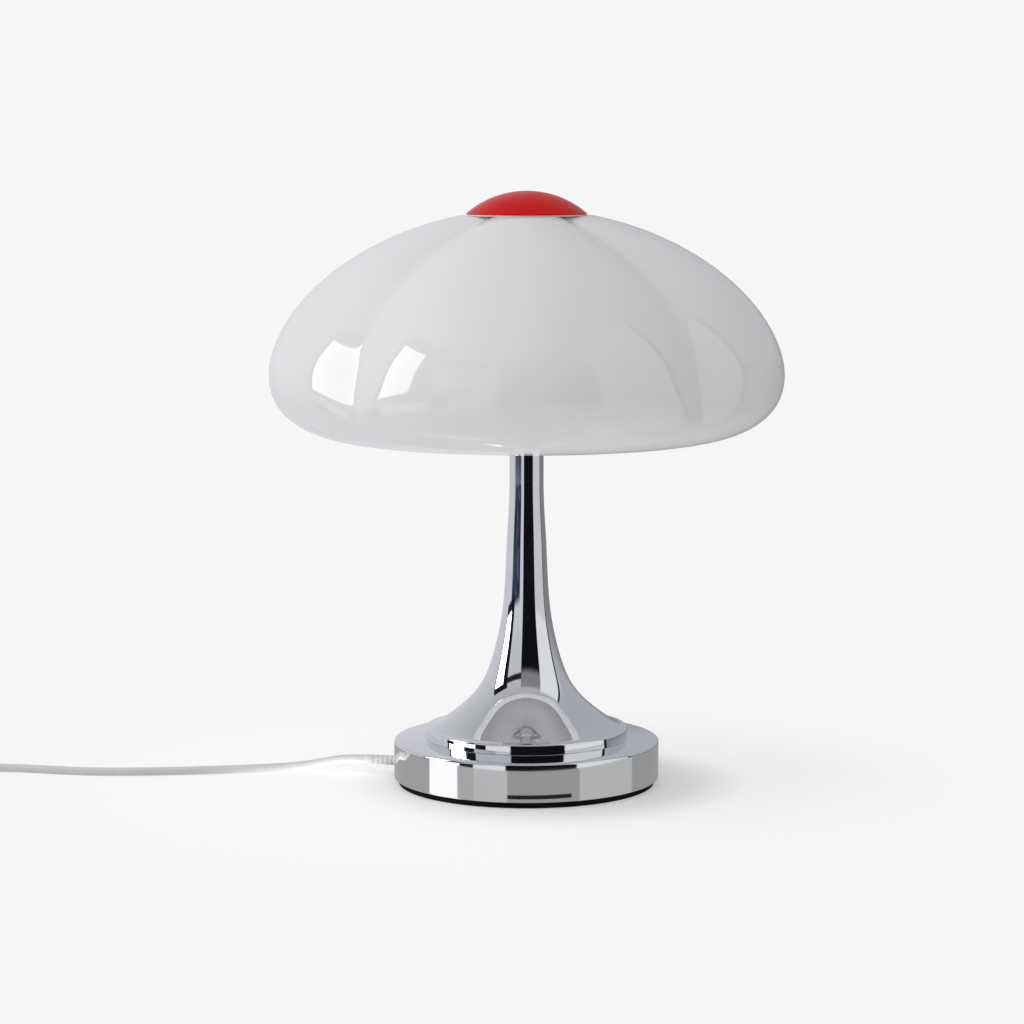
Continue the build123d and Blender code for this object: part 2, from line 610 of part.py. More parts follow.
def roll_angle(height, inset):
    """The outline's angle at a height below the widest level."""
    share = (SHADE_WIDEST - height) / (SHADE_ROLL_DROP - inset)
    return -math.degrees(math.asin(share ** (SHADE_ROLL_FULLNESS / 2)))


def lobe_offset(radius, height):
    """How far a lobe's own axis is from the lamp's, which fades to nothing at the rim."""
    at_cap = LOBE_OFFSET_AT_CAP * radius
    blend = LOBE_OFFSET_BLEND
    offset = (at_cap ** -blend + LOBE_OFFSET ** -blend) ** (-1 / blend)
    share = min(1.0, max(0.0, (height - SHADE_RIM) / LOBE_FADE_HEIGHT))
    return offset * math.sin(math.radians(90 * share))


def lobed_radius(radius, height, from_crease):
    """Distance from the lamp's axis at an angle from the nearest crease, in degrees."""
    half = LOBE_PITCH / 2
    softened = math.hypot(from_crease, CREASE_SOFTNESS) * half / math.hypot(half, CREASE_SOFTNESS)
    turn = math.radians(half - softened)
    offset = lobe_offset(radius, height)
    across = offset * math.sin(turn)
    return offset * math.cos(turn) + math.sqrt((radius - offset) ** 2 - across ** 2)


def shade_section(angle, inset):
    """The shade's closed outline at one level."""
    radius, height = shade_level(angle, inset)
    half = LOBE_PITCH / 2
    steps = list(CREASE_STEPS) + [2 * half - step for step in reversed(CREASE_STEPS[1:-1])]
    points = []
    turns = []
    for lobe in range(LOBE_COUNT):
        for step in steps:
            turn = lobe * LOBE_PITCH + step - half
            distance = lobed_radius(radius, height, min(step, 2 * half - step))
            points.append(Vector(distance, 0, height).rotate(Axis.Z, turn))
            turns.append(turn + half)
    return Wire([Edge.make_spline(points, periodic=True, parameters=turns + [360.0])])


def shade_body(low, high, inset):
    """Solid of the shade's outline between two heights."""
    start = roll_angle(low, inset)
    end = dome_angle(high, inset)
    angles = [start * (1 - step / ROLL_LEVELS) for step in range(ROLL_LEVELS)]
    angles += [end * step / DOME_LEVELS for step in range(DOME_LEVELS + 1)]
    return Solid.make_loft([shade_section(angle, inset) for angle in angles])


def make_glass_shade():
    rim_inside = SHADE_RIM + GLASS_WALL - NEST_GAP
    glass = shade_body(SHADE_RIM, SHADE_TOP, 0) - shade_body(rim_inside, GLASS_INNER_TOP, GLASS_WALL)
    glass -= disc(SHADE_MOUTH_RADIUS, SHADE_RIM - GLASS_WALL, rim_inside + GLASS_WALL)
    return glass - disc(STUD_RADIUS + SLIP_GAP, GLASS_INNER_TOP, SHADE_TOP)


# ---------------------------------------------------------------- red cap
def cap_ball(inset):
    """The part of a ball that lies above the cap's rim."""
    radius = (CAP_RADIUS ** 2 + CAP_RISE ** 2) / (2 * CAP_RISE)
    centre = CAP_RIM + CAP_RISE - radius
    return Pos(0, 0, centre) * Sphere(radius - inset) & disc(CAP_RADIUS, CAP_RIM, CAP_RIM + CAP_RISE)


def make_red_cap():
    return cap_ball(0) - cap_ball(CAP_WALL)


def make_cap_insert():
    """Threaded insert inside the cap, which screws down on the stud."""
    low = SHADE_TOP + INSERT_CLEARANCE
    insert = disc(INSERT_RADIUS, low, CAP_RIM + CAP_RISE) & cap_ball(CAP_WALL)
    return insert - disc(STUD_RADIUS + RUNNING_GAP, low, STUD_TOP + NEST_GAP)


def make_cap_gasket():
    outer = CAP_RADIUS - CAP_WALL / 2
    return ring(outer, outer - CAP_GASKET_WIDTH, SHADE_TOP, CAP_RIM)


# ---------------------------------------------------------------- cord outside the lamp
def corner_radii(points):
    """Bend radii as large as the runs on both sides of each point allow."""
    radii = []
    for before, here, after in zip(points, points[1:], points[2:]):
        arriving = Vector(*here) - Vector(*before)
        leaving = Vector(*after) - Vector(*here)
        turn = math.radians(arriving.get_angle(leaving))
        radii.append(0.45 * min(arriving.length, leaving.length) / math.tan(turn / 2))
    return radii


def cord_tube(name, points):
    """A round cord along straight runs that tangent arcs join."""
    radii = corner_radii(points)
    path = FilletPolyline(*points, radius=radii)
    start = Plane(path @ 0, z_dir=path % 0)
    tube = sweep(start * Circle(CORD_RADIUS), path=path)
    ideal = math.pi * CORD_RADIUS ** 2 * path.length
    print(name, "length", round(path.length, 1), "volume share", round(tube.volume / ideal, 5))
    print(name, "bend radii", [round(radius, 1) for radius in radii])
    return tube


def lead_route():
    """From the bushing's tip, down to the surface and along it to the switch."""
    tip = (RADIAL * Pos(BUSHING_TIP, 0, CORD_EXIT_HEIGHT)).position
    ahead = (RADIAL * Pos(BUSHING_TIP + END_RUN, 0, CORD_EXIT_HEIGHT)).position
    inlet = SWITCH_X + SWITCH_LENGTH / 2 + SWITCH_COLLAR_LENGTH
    return [
        (tip.X, tip.Y, tip.Z),
        (ahead.X, ahead.Y, ahead.Z),
        (-120.0, 27.3, 6.4),
        (-134.0, 28.2, 3.8),
        (-151.0, 26.8, 2.7),
        (-173.0, 22.8, CORD_REST),
        (-203.0, 17.8, CORD_REST),
        (-237.0, 14.8, CORD_REST),
        (-266.0, 15.0, 2.8),
        (-289.0, 17.6, 3.5),
        (inlet + END_RUN, SWITCH_Y, SWITCH_CORD_HEIGHT),
        (inlet, SWITCH_Y, SWITCH_CORD_HEIGHT),
    ]


def link_route():
    """From the switch round into the coil's outer turn."""
    outlet = SWITCH_X - SWITCH_LENGTH / 2 - SWITCH_COLLAR_LENGTH
    entry = coil_point(0.0) - coil_direction(0.0) * 2 * CORD_RADIUS
    lead_in = entry - coil_direction(0.0) * END_RUN
    return [
        (outlet, SWITCH_Y, SWITCH_CORD_HEIGHT),
        (outlet - END_RUN, SWITCH_Y, SWITCH_CORD_HEIGHT),
        (-424.8, 15.0, 3.4),
        (-435.4, 5.6, 2.8),
        (-441.2, -8.2, CORD_REST),
        (lead_in.X, lead_in.Y, CORD_REST),
        (entry.X, entry.Y, CORD_REST),
    ]


def tail_route():
    """From the coil's top turn down to the surface and into the plug's boot."""
    leave = coil_point(COIL_TURNS) + coil_direction(COIL_TURNS) * 2 * CORD_RADIUS
    clear = leave + coil_direction(COIL_TURNS) * END_RUN
    boot_end = PLUG_TIP_X - PIN_LENGTH - PLUG_LENGTH - PLUG_BOOT_LENGTH
    return [
        (leave.X, leave.Y, leave.Z),
        (clear.X, clear.Y, leave.Z),
        (-440.6, -74.4, 5.6),
        (-434.6, -86.2, 3.2),
        (-424.6, -94.4, 4.0),
        (boot_end - END_RUN, PLUG_Y, PLUG_AXIS),
        (boot_end, PLUG_Y, PLUG_AXIS),
    ]


def coil_point(turns):
    """The middle of the coiled cord after a number of turns: in, up a layer, and out again."""
    middle = COIL_TURNS / 2
    radius = COIL_OUTER_RADIUS - COIL_PITCH * (middle - abs(middle - turns))
    share = min(1.0, max(0.0, (turns - middle) / 0.5 + 0.5))
    climb = share * share * (3 - 2 * share)
    angle = math.radians(COIL_START_ANGLE + 360 * turns)
    return Vector(COIL_X + radius * math.cos(angle), COIL_Y + radius * math.sin(angle),
                  CORD_REST + COIL_PITCH * climb)


def coil_direction(turns):
    """The way that the cord runs at that place."""
    step = 0.01
    return (coil_point(turns + step) - coil_point(turns - step)).normalized()


def two_arcs(start, start_way, end, end_way):
    """Two arcs that join two places with given directions, and meet each other smoothly."""
    across = end - start
    ways = start_way + end_way
    square = 2 * (1 - start_way.dot(end_way))
    linear = across.dot(ways)
    reach = (math.sqrt(linear ** 2 + square * across.dot(across)) - linear) / square
    first = start + start_way * reach
    second = end - end_way * reach
    joint = (first + second) * 0.5
    return [
        Edge.make_tangent_arc(start, start_way, joint),
        Edge.make_tangent_arc(joint, second - first, end),
    ]


def coil_path():
    """One unbroken line: a straight end, quarter turns as pairs of arcs, and a straight end."""
    quarters = round(4 * COIL_TURNS)
    places = [number / 4 for number in range(quarters + 1)]
    start, end = coil_point(0.0), coil_point(COIL_TURNS)
    before = start - coil_direction(0.0) * 2 * CORD_RADIUS
    after = end + coil_direction(COIL_TURNS) * 2 * CORD_RADIUS
    edges = [Edge.make_line(before, start)]
    for here, there in zip(places, places[1:]):
        edges += two_arcs(coil_point(here), coil_direction(here), coil_point(there), coil_direction(there))
    edges.append(Edge.make_line(end, after))
    return Wire(edges)


def least_coil_gap():
    """The smallest clear gap between turns, measured on points along the middle of the cord."""
    steps_per_turn = 48
    count = round(COIL_TURNS * steps_per_turn)
    points = [coil_point(step / steps_per_turn) for step in range(count + 1)]
    apart = steps_per_turn // 2
    distances = [
        (points[first] - points[second]).length
        for first in range(count + 1)
        for second in range(first + apart, count + 1)
    ]
    return min(distances) - 2 * CORD_RADIUS


def make_cord_coil():
    path = coil_path()
    start = Plane(path @ 0, z_dir=path % 0)
    coil = sweep(start * Circle(CORD_RADIUS), path=path)
    ideal = math.pi * CORD_RADIUS ** 2 * path.length
    print("cord_coil length", round(path.length, 1), "least gap", round(least_coil_gap(), 2),
          "volume share", round(coil.volume / ideal, 5))
    return coil


# ---------------------------------------------------------------- in-line switch
def at_switch(solid):
    return Pos(SWITCH_X, SWITCH_Y, FLOOR_GAP) * solid


def switch_block(inset, low, high):
    outline = RectangleRounded(SWITCH_LENGTH - 2 * inset, SWITCH_WIDTH - 2 * inset, SWITCH_CORNER - inset)
    return Pos(0, 0, low) * extrude(outline, high - low)


def switch_screw_places():
    return [Pos(side * SWITCH_SCREW_SPACING / 2, 0, 0) for side in (-1, 1)]


def make_switch_base():
    """Lower housing with the two collars that the cord goes in by."""
    base = switch_block(0, 0, SWITCH_BASE_HEIGHT)
    base = chamfer(base.edges().group_by(Axis.Z)[0], SWITCH_WALL / 2)
    base -= switch_block(SWITCH_WALL, SWITCH_WALL, SWITCH_BASE_HEIGHT)
    for side in (-1, 1):
        inner_end = side * (SWITCH_LENGTH / 2 - SWITCH_WALL)
        collar = Cylinder(SWITCH_COLLAR_RADIUS, SWITCH_COLLAR_LENGTH + SWITCH_WALL,
                          align=(Align.CENTER, Align.CENTER, Align.MIN))
        base += Pos(inner_end, 0, SWITCH_COLLAR_RADIUS) * Rot(0, side * 90, 0) * collar
    for place in switch_screw_places():
        boss = disc(SWITCH_HEAD_RADIUS + NEST_GAP, SWITCH_WALL, SWITCH_BASE_HEIGHT)
        base += place * boss
        base -= place * disc(SWITCH_SCREW_RADIUS, SWITCH_WALL, SWITCH_BASE_HEIGHT)
    return at_switch(base)


def make_switch_cover():
    """Upper housing with the rocker's window."""
    low = SWITCH_BASE_HEIGHT
    high = SWITCH_TOP
    cover = switch_block(0, low, high)
    cover = fillet(cover.edges().group_by(Axis.Z)[-1], SWITCH_WALL)
    cover -= switch_block(SWITCH_WALL, low, high - SWITCH_WALL)
    half_window = (ROCKER_LENGTH / 2 + ROCKER_GAP, ROCKER_WIDTH / 2 + ROCKER_GAP)
    cover -= box_between((-half_window[0], -half_window[1], low), (half_window[0], half_window[1], high))
    for side in (-1, 1):
        ear_inner = side * half_window[1]
        ear_outer = side * (SWITCH_WIDTH / 2 - SWITCH_WALL)
        lows = (-ROCKER_EAR_WIDTH / 2, min(ear_inner, ear_outer), low)
        highs = (ROCKER_EAR_WIDTH / 2, max(ear_inner, ear_outer), high - SWITCH_WALL)
        cover += box_between(lows, highs)
    cover -= Pos(0, 0, ROCKER_AXIS) * Rot(90, 0, 0) * Cylinder(ROCKER_PIN_RADIUS, ROCKER_PIN_LENGTH)
    for place in switch_screw_places():
        cover += place * disc(SWITCH_HEAD_RADIUS + SWITCH_WALL, low, high - SWITCH_WALL)
        cover -= place * disc(SWITCH_SCREW_RADIUS, low, high)
        cover -= place * disc(SWITCH_HEAD_RADIUS, high - SWITCH_HEAD_HEIGHT, high)
    return at_switch(cover)


def make_switch_screws():
    top = SWITCH_TOP
    under_head = top - SWITCH_HEAD_HEIGHT
    screw = disc(SWITCH_SCREW_RADIUS, under_head - SWITCH_SCREW_LENGTH, under_head)
    screw += disc(SWITCH_HEAD_RADIUS, under_head, top)
    slot_width = SWITCH_SCREW_RADIUS / 2
    slot = Box(2 * SWITCH_HEAD_RADIUS, slot_width, SWITCH_HEAD_HEIGHT)
    screw -= Pos(0, 0, top) * slot
    return Compound([at_switch(place * screw) for place in switch_screw_places()])


def make_switch_contacts():
    """Two brass blocks on the lower housing's floor that the cord's cores end in."""
    length, width, height = SWITCH_CONTACT_SIZE
    block = box_between((-length / 2, -width / 2, SWITCH_WALL), (length / 2, width / 2, SWITCH_WALL + height))
    places = [Pos(side * SWITCH_CONTACT_SPACING / 2, 0, 0) for side in (-1, 1)]
    return Compound([at_switch(place * block) for place in places])


def make_rocker_pin():
    pin = Cylinder(ROCKER_PIN_RADIUS, ROCKER_PIN_LENGTH)
    return at_switch(Pos(0, 0, ROCKER_AXIS) * Rot(90, 0, 0) * pin)


def make_switch_rocker():
    """The rocker, built level, then tipped to its off side about its pin."""
    half = ROCKER_LENGTH / 2 - ROCKER_GAP
    dip = SWITCH_TOP + ROCKER_RISE / 3
    skirt = SWITCH_TOP - ROCKER_DEPTH
    foot = ROCKER_FOOT_WIDTH / 2
    skirt_half = half - 2 * ROCKER_DEPTH * math.tan(math.radians(ROCKER_ANGLE))
    profile = Polyline(
        (-half, 0, SWITCH_TOP + ROCKER_RISE),
        (0, 0, dip),
        (half, 0, SWITCH_TOP + ROCKER_RISE),
        (skirt_half, 0, skirt),
        (foot, 0, skirt - ROCKER_DEPTH),
        (-foot, 0, skirt - ROCKER_DEPTH),
        (-skirt_half, 0, skirt),
        close=True,
    )
    rocker = extrude(make_face(profile), ROCKER_WIDTH / 2, dir=(0, 1, 0), both=True)
    bore = Rot(90, 0, 0) * Cylinder(ROCKER_PIN_RADIUS + RUNNING_GAP, 2 * ROCKER_WIDTH)
    rocker = Pos(0, 0, -ROCKER_AXIS) * rocker - bore
    return at_switch(Pos(0, 0, ROCKER_AXIS) * Rot(0, -ROCKER_ANGLE, 0) * rocker)


# ---------------------------------------------------------------- plug
def at_plug(solid):
    return Pos(PLUG_TIP_X - PIN_LENGTH, PLUG_Y, PLUG_AXIS) * solid


def make_plug_body():
    """Flat plug: a wide face that carries the pins, and a slimmer grip behind it."""
    shoulder_half = PLUG_SHOULDER_WIDTH / 2
    tail_half = PLUG_TAIL_WIDTH / 2
    body_half = PLUG_WIDTH / 2
    outline = Polyline(
        (0, -shoulder_half),
        (0, shoulder_half),
        (-PLUG_SHOULDER_LENGTH, shoulder_half),
        (-PLUG_GRIP_START, body_half),
        (-PLUG_LENGTH, tail_half),
        (-PLUG_LENGTH, -tail_half),
        (-PLUG_GRIP_START, -body_half),
        (-PLUG_SHOULDER_LENGTH, -shoulder_half),
        close=True,
    )
    body = extrude(make_face(outline), PLUG_THICKNESS / 2, both=True)
    return at_plug(fillet(body.edges().filter_by(Axis.Z), PLUG_CORNER))


def make_plug_pins():
    pin = along_x(Cylinder(PIN_RADIUS, PIN_LENGTH, align=(Align.CENTER, Align.CENTER, Align.MIN)))
    pin = fillet(pin.edges().group_by(Axis.X)[-1], PIN_END_ROUND)
    return Compound([at_plug(Pos(0, side * PIN_SPACING / 2, 0) * pin) for side in (-1, 1)])


def make_plug_boot():
    boot = cone_along_x(PLUG_BOOT_ROOT_RADIUS, BOOT_TIP_RADIUS, PLUG_BOOT_LENGTH)
    return at_plug(Pos(-PLUG_LENGTH, 0, 0) * Rot(0, 0, 180) * boot)


# ---------------------------------------------------------------- write one file per piece
PIECES = {
    "foot_pad": make_foot_pad,
    "base_plate": make_base_plate,
    "base_weight": make_base_weight,
    "base_cover": make_base_cover,
    "base_screws": make_base_screws,
    "cord_bushing": make_cord_bushing,
    "cord_clamp": make_cord_clamp,
    "clamp_screws": make_clamp_screws,
    "column": make_column,
    "column_ring": make_column_ring,
    "inner_cord": make_inner_cord,
    "nipple": make_nipple,
    "nipple_nuts": make_nipple_nuts,
    "holder_cap": make_holder_cap,
    "holder_block": make_holder_block,
    "holder_screws": make_holder_screws,
    "holder_sleeve": make_holder_sleeve,
    "holder_thread": make_holder_thread,
    "holder_contact": make_holder_contact,
    "bulb_tip": make_bulb_tip,
    "bulb_cap": make_bulb_cap,
    "bulb_globe": make_bulb_globe,
    "yoke": make_yoke,
    "top_stud": make_top_stud,
    "stud_nut": make_stud_nut,
    "shade_seat": make_shade_seat,
    "seat_gasket": make_seat_gasket,
    "glass_shade": make_glass_shade,
    "cap_gasket": make_cap_gasket,
    "red_cap": make_red_cap,
    "cap_insert": make_cap_insert,
    "cord_lead": lambda: cord_tube("cord_lead", lead_route()),
    "cord_link": lambda: cord_tube("cord_link", link_route()),
    "cord_coil": make_cord_coil,
    "cord_tail": lambda: cord_tube("cord_tail", tail_route()),
    "switch_base": make_switch_base,
    "switch_cover": make_switch_cover,
    "switch_screws": make_switch_screws,
    "switch_contacts": make_switch_contacts,
    "rocker_pin": make_rocker_pin,
    "switch_rocker": make_switch_rocker,
    "plug_body": make_plug_body,
    "plug_pins": make_plug_pins,
    "plug_boot": make_plug_boot,
}

os.makedirs("parts", exist_ok=True)
for name, make in PIECES.items():
    export_step(make(), f"parts/{name}.step")
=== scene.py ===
"""Looks of a table lamp: a lobed opal glass shade with a red cap on a chrome trumpet column and disc base."""
import json
import logging
import math
from dataclasses import dataclass
from enum import Enum

import bpy
import numpy as np
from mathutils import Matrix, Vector


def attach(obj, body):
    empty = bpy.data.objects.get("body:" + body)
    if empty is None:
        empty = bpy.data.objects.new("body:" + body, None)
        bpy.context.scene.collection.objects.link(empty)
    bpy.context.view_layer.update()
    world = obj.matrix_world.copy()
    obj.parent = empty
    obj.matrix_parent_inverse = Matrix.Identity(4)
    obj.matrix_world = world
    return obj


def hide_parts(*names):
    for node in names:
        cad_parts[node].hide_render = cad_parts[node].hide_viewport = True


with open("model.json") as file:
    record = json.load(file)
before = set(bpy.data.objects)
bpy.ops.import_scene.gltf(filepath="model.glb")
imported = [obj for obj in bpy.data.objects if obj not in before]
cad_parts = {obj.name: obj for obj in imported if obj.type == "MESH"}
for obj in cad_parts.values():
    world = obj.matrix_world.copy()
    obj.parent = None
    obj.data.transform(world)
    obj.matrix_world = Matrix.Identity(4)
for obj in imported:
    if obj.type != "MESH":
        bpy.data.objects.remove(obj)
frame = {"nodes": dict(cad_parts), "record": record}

LOG = logging.getLogger("lamp")
MM = 0.001
FULL_TURN = 2 * math.pi
JOIN_GAP = 0.002    # points nearer than this, in millimetres, become one

Point = tuple[float, float, float]
Outline = list[tuple[float, float]]
Colour = tuple[float, float, float]


# ---------------------------------------------------------------- shader nodes
class NodeSheet:
    """Adds nodes to one shader tree and joins them."""

    def __init__(self, tree: bpy.types.NodeTree) -> None:
        """Keep the tree that the nodes go into."""
        self.tree = tree

    def feed(self, socket: bpy.types.NodeSocket, value: object) -> None:
        """Join a socket to an output, or set its value.

        Args:
            socket: the input to fill.
            value: an output socket, a number, or a tuple of numbers.
        """
        if isinstance(value, bpy.types.NodeSocket):
            self.tree.links.new(value, socket)
        else:
            socket.default_value = value

    def add(self, kind: str, **inputs: object) -> bpy.types.Node:
        """Add a node.

        Args:
            kind: the node's type.
            inputs: its input names, with _ for a space, and what goes into them.

        Returns:
            The new node.
        """
        node = self.tree.nodes.new(kind)
        for label, value in inputs.items():
            self.feed(node.inputs[label.replace("_", " ")], value)
        return node

    def math(self, kind: str, first: object, second: object = 0.0) -> bpy.types.NodeSocket:
        """Work out one number from two.

        Args:
            kind: the operation.
            first: the first number or output.
            second: the second number or output.

        Returns:
            The output with the result.
        """
        node = self.tree.nodes.new("ShaderNodeMath")
        node.operation = kind
        self.feed(node.inputs[0], first)
        self.feed(node.inputs[1], second)
        return node.outputs[0]

    def ramp(self, value: object, low: float, high: float) -> bpy.types.NodeSocket:
        """Rise smoothly from 0 to 1 while a value goes from low to high.

        Args:
            value: the number or output that is read.
            low: where the rise starts.
            high: where the rise ends.

        Returns:
            The output with the share.
        """
        node = self.tree.nodes.new("ShaderNodeMapRange")
        node.interpolation_type = "SMOOTHSTEP"
        for label, number in (("Value", value), ("From Min", low), ("From Max", high)):
            self.feed(node.inputs[label], number)
        return node.outputs[0]

    def band(self, value: object, low: float, high: float, soft: float) -> bpy.types.NodeSocket:
        """Give 1 between two values and 0 outside them, with soft edges.

        Args:
            value: the number or output that is read.
            low: the lower edge.
            high: the upper edge.
            soft: half the width of each edge.

        Returns:
            The output with the share.
        """
        rise = self.ramp(value, low - soft, low + soft)
        fall = self.ramp(value, high - soft, high + soft)
        return self.math("SUBTRACT", rise, fall)

    def blend(self, share: object, first: object, second: object) -> bpy.types.NodeSocket:
        """Mix two colours.

        Args:
            share: how much of the second colour is taken.
            first: the first colour.
            second: the second colour.

        Returns:
            The output with the mixed colour.
        """
        node = self.tree.nodes.new("ShaderNodeMix")
        node.data_type = "RGBA"
        self.feed(node.inputs[0], share)
        self.feed(node.inputs[6], first if isinstance(first, bpy.types.NodeSocket) else (*first, 1.0))
        self.feed(node.inputs[7], second if isinstance(second, bpy.types.NodeSocket) else (*second, 1.0))
        return node.outputs[2]

    def mix_shaders(self, share: object, first: object, second: object) -> bpy.types.NodeSocket:
        """Mix two shaders.

        Args:
            share: how much of the second shader is taken.
            first: the first shader.
            second: the second shader.

        Returns:
            The output with the mixed shader.
        """
        node = self.tree.nodes.new("ShaderNodeMixShader")
        for socket, value in zip(node.inputs, (share, first, second)):
            self.feed(socket, value)
        return node.outputs[0]


# ---------------------------------------------------------------- finishes
class Grain(Enum):
    """Small relief of a surface: its repeats per metre, how it is stretched, and its depth in metres."""

    POLISHED = (900.0, (1.0, 1.0, 1.0), 0.000002)
    PLATED = (1600.0, (1.0, 1.0, 1.0), 0.000006)
    MOULDED = (2600.0, (1.0, 1.0, 1.0), 0.00002)
    PEBBLED = (1300.0, (1.0, 1.0, 1.0), 0.00006)
    DRAWN = (700.0, (1.0, 1.0, 0.05), 0.00001)
    CAST = (420.0, (1.0, 1.0, 1.0), 0.00025)


COAT_ROUGHNESS = 0.03
MILKY_DEPTH = 0.003         # how far light goes into a milky piece, in metres
FINE_SHARE = 0.2            # how much of the colour's variation is fine grain, not patches
COLOUR_RANGE = (0.3, 0.7)   # the variation goes from the dark to the light colour between these


@dataclass(frozen=True)
class Finish:
    """A surface finish whose colour, gloss and relief follow the piece's own coordinates."""

    name: str
    light: Colour
    dark: Colour
    grain: Grain
    patch: float = 40.0
    roughness: tuple[float, float] = (0.3, 0.4)
    metallic: float = 0.0
    coat: float = 0.0
    subsurface: float = 0.0
    specular: float = 0.5

    def shader(self, sheet: NodeSheet) -> bpy.types.Node:
        """Set the surface shader's constant values.

        Args:
            sheet: the nodes of the material.

        Returns:
            The surface shader.
        """
        shader = sheet.tree.nodes["Principled BSDF"]
        shader.inputs["Metallic"].default_value = self.metallic
        shader.inputs["Coat Weight"].default_value = self.coat
        shader.inputs["Coat Roughness"].default_value = COAT_ROUGHNESS
        shader.inputs["Specular IOR Level"].default_value = self.specular
        shader.inputs["Subsurface Weight"].default_value = self.subsurface
        shader.inputs["Subsurface Radius"].default_value = (1.0, 1.0, 1.0)
        shader.inputs["Subsurface Scale"].default_value = MILKY_DEPTH
        return shader

    def material(self) -> bpy.types.Material:
        """Make the material, or give it back if it is there already.

        Returns:
            The material of this finish.
        """
        made = bpy.data.materials.get(self.name + "_fine")
        if made is not None:
            return made
        made = bpy.data.materials.new(self.name + "_fine")
        made.use_nodes = True
        sheet = NodeSheet(made.node_tree)
        shader = self.shader(sheet)
        repeats, stretch, depth = self.grain.value
        place = sheet.add("ShaderNodeTexCoord").outputs["Object"]
        stretched = sheet.add("ShaderNodeMapping", Vector=place, Scale=stretch).outputs[0]
        patches = sheet.add("ShaderNodeTexNoise", Vector=place, Scale=self.patch, Detail=4.0).outputs[0]
        fine = sheet.add("ShaderNodeTexNoise", Vector=stretched, Scale=repeats, Detail=2.0).outputs[0]
        mixed = sheet.math("ADD", sheet.math("MULTIPLY", patches, 1 - FINE_SHARE),
                           sheet.math("MULTIPLY", fine, FINE_SHARE))
        share = sheet.ramp(mixed, *COLOUR_RANGE)
        sheet.feed(shader.inputs["Base Color"], sheet.blend(share, self.dark, self.light))
        low, high = self.roughness
        gloss = sheet.add("ShaderNodeMapRange", Value=patches, To_Min=low, To_Max=high)
        sheet.feed(shader.inputs["Roughness"], gloss.outputs[0])
        relief = sheet.add("ShaderNodeBump", Height=fine, Strength=1.0, Distance=depth)
        sheet.feed(shader.inputs["Normal"], relief.outputs[0])
        return made


OPAL_GLASS = Finish("opal_glass", (0.885, 0.885, 0.90), (0.87, 0.87, 0.88), Grain.POLISHED, patch=9.0,
                    roughness=(0.03, 0.05), subsurface=0.3)
RED_GLOSS = Finish("red_gloss", (0.71, 0.012, 0.011), (0.67, 0.010, 0.009), Grain.MOULDED, patch=25.0,
                   roughness=(0.24, 0.32), specular=0.1)
CHROME = Finish("chrome", (0.80, 0.805, 0.82), (0.76, 0.765, 0.78), Grain.POLISHED, patch=35.0,
                roughness=(0.02, 0.05), metallic=1.0)
FINISHES = {
    "opal_glass": OPAL_GLASS,
    "red_gloss": RED_GLOSS,
    "chrome": CHROME,
    "bulb_glass": Finish("bulb_glass", (0.86, 0.86, 0.84), (0.82, 0.82, 0.80), Grain.POLISHED,
                         roughness=(0.08, 0.14), coat=0.5, subsurface=0.2),
    "black_rubber": Finish("black_rubber", (0.012, 0.012, 0.013), (0.006, 0.006, 0.007), Grain.PEBBLED,
                           patch=60.0, roughness=(0.62, 0.8), specular=0.05),
    "clear_rubber": Finish("clear_rubber", (0.80, 0.79, 0.76), (0.72, 0.71, 0.68), Grain.MOULDED,
                           roughness=(0.4, 0.5), subsurface=0.2),
    "zinc_steel": Finish("zinc_steel", (0.64, 0.66, 0.70), (0.52, 0.53, 0.54), Grain.PLATED, patch=90.0,
                         roughness=(0.22, 0.38), metallic=1.0),
    "cast_weight": Finish("cast_weight", (0.13, 0.125, 0.12), (0.07, 0.066, 0.062), Grain.CAST, patch=50.0,
                          roughness=(0.6, 0.8), metallic=0.6),
    "white_plastic": Finish("white_plastic", (0.84, 0.84, 0.82), (0.80, 0.80, 0.775), Grain.PEBBLED,
                            patch=30.0, roughness=(0.32, 0.42)),
    "cord_plastic": Finish("cord_plastic", (0.78, 0.78, 0.775), (0.72, 0.72, 0.715), Grain.MOULDED,
                           patch=60.0, roughness=(0.36, 0.48)),
    "insulator": Finish("insulator", (0.05, 0.048, 0.045), (0.03, 0.029, 0.028), Grain.MOULDED,
                        roughness=(0.25, 0.4)),
    "brass": Finish("brass", (0.74, 0.56, 0.25), (0.58, 0.42, 0.17), Grain.DRAWN, patch=120.0,
                    roughness=(0.2, 0.35), metallic=1.0),
    "nickel": Finish("nickel", (0.74, 0.72, 0.67), (0.62, 0.60, 0.56), Grain.DRAWN, patch=120.0,
                     roughness=(0.16, 0.28), metallic=1.0),
    "bulb_metal": Finish("bulb_metal", (0.78, 0.78, 0.78), (0.62, 0.62, 0.62), Grain.DRAWN, patch=150.0,
                         roughness=(0.2, 0.35), metallic=1.0),
}


def dress(piece: bpy.types.Object, slot: str) -> None:
    """Give a piece the finish of a material slot.

    Args:
        piece: the object.
        slot: the name of the slot.
    """
    piece.data.materials.clear()
    piece.data.materials.append(FINISHES[slot].material())


def settle(piece: bpy.types.Object, body: str, slot: str, *nodes: str) -> bpy.types.Object:
    """Finish a new piece: its body, its slot, its finish and the nodes that it stands for.

    Args:
        piece: the new object.
        body: the body that it moves with.
        slot: the material slot.
        nodes: the nodes that it replaces.

    Returns:
        The same piece.
    """
    dress(piece, slot)
    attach(piece, body)
    if nodes:
        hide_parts(*nodes)
    LOG.info("%s rides on %s and replaces %s", piece.name, body, ", ".join(nodes) or "nothing")
    return piece


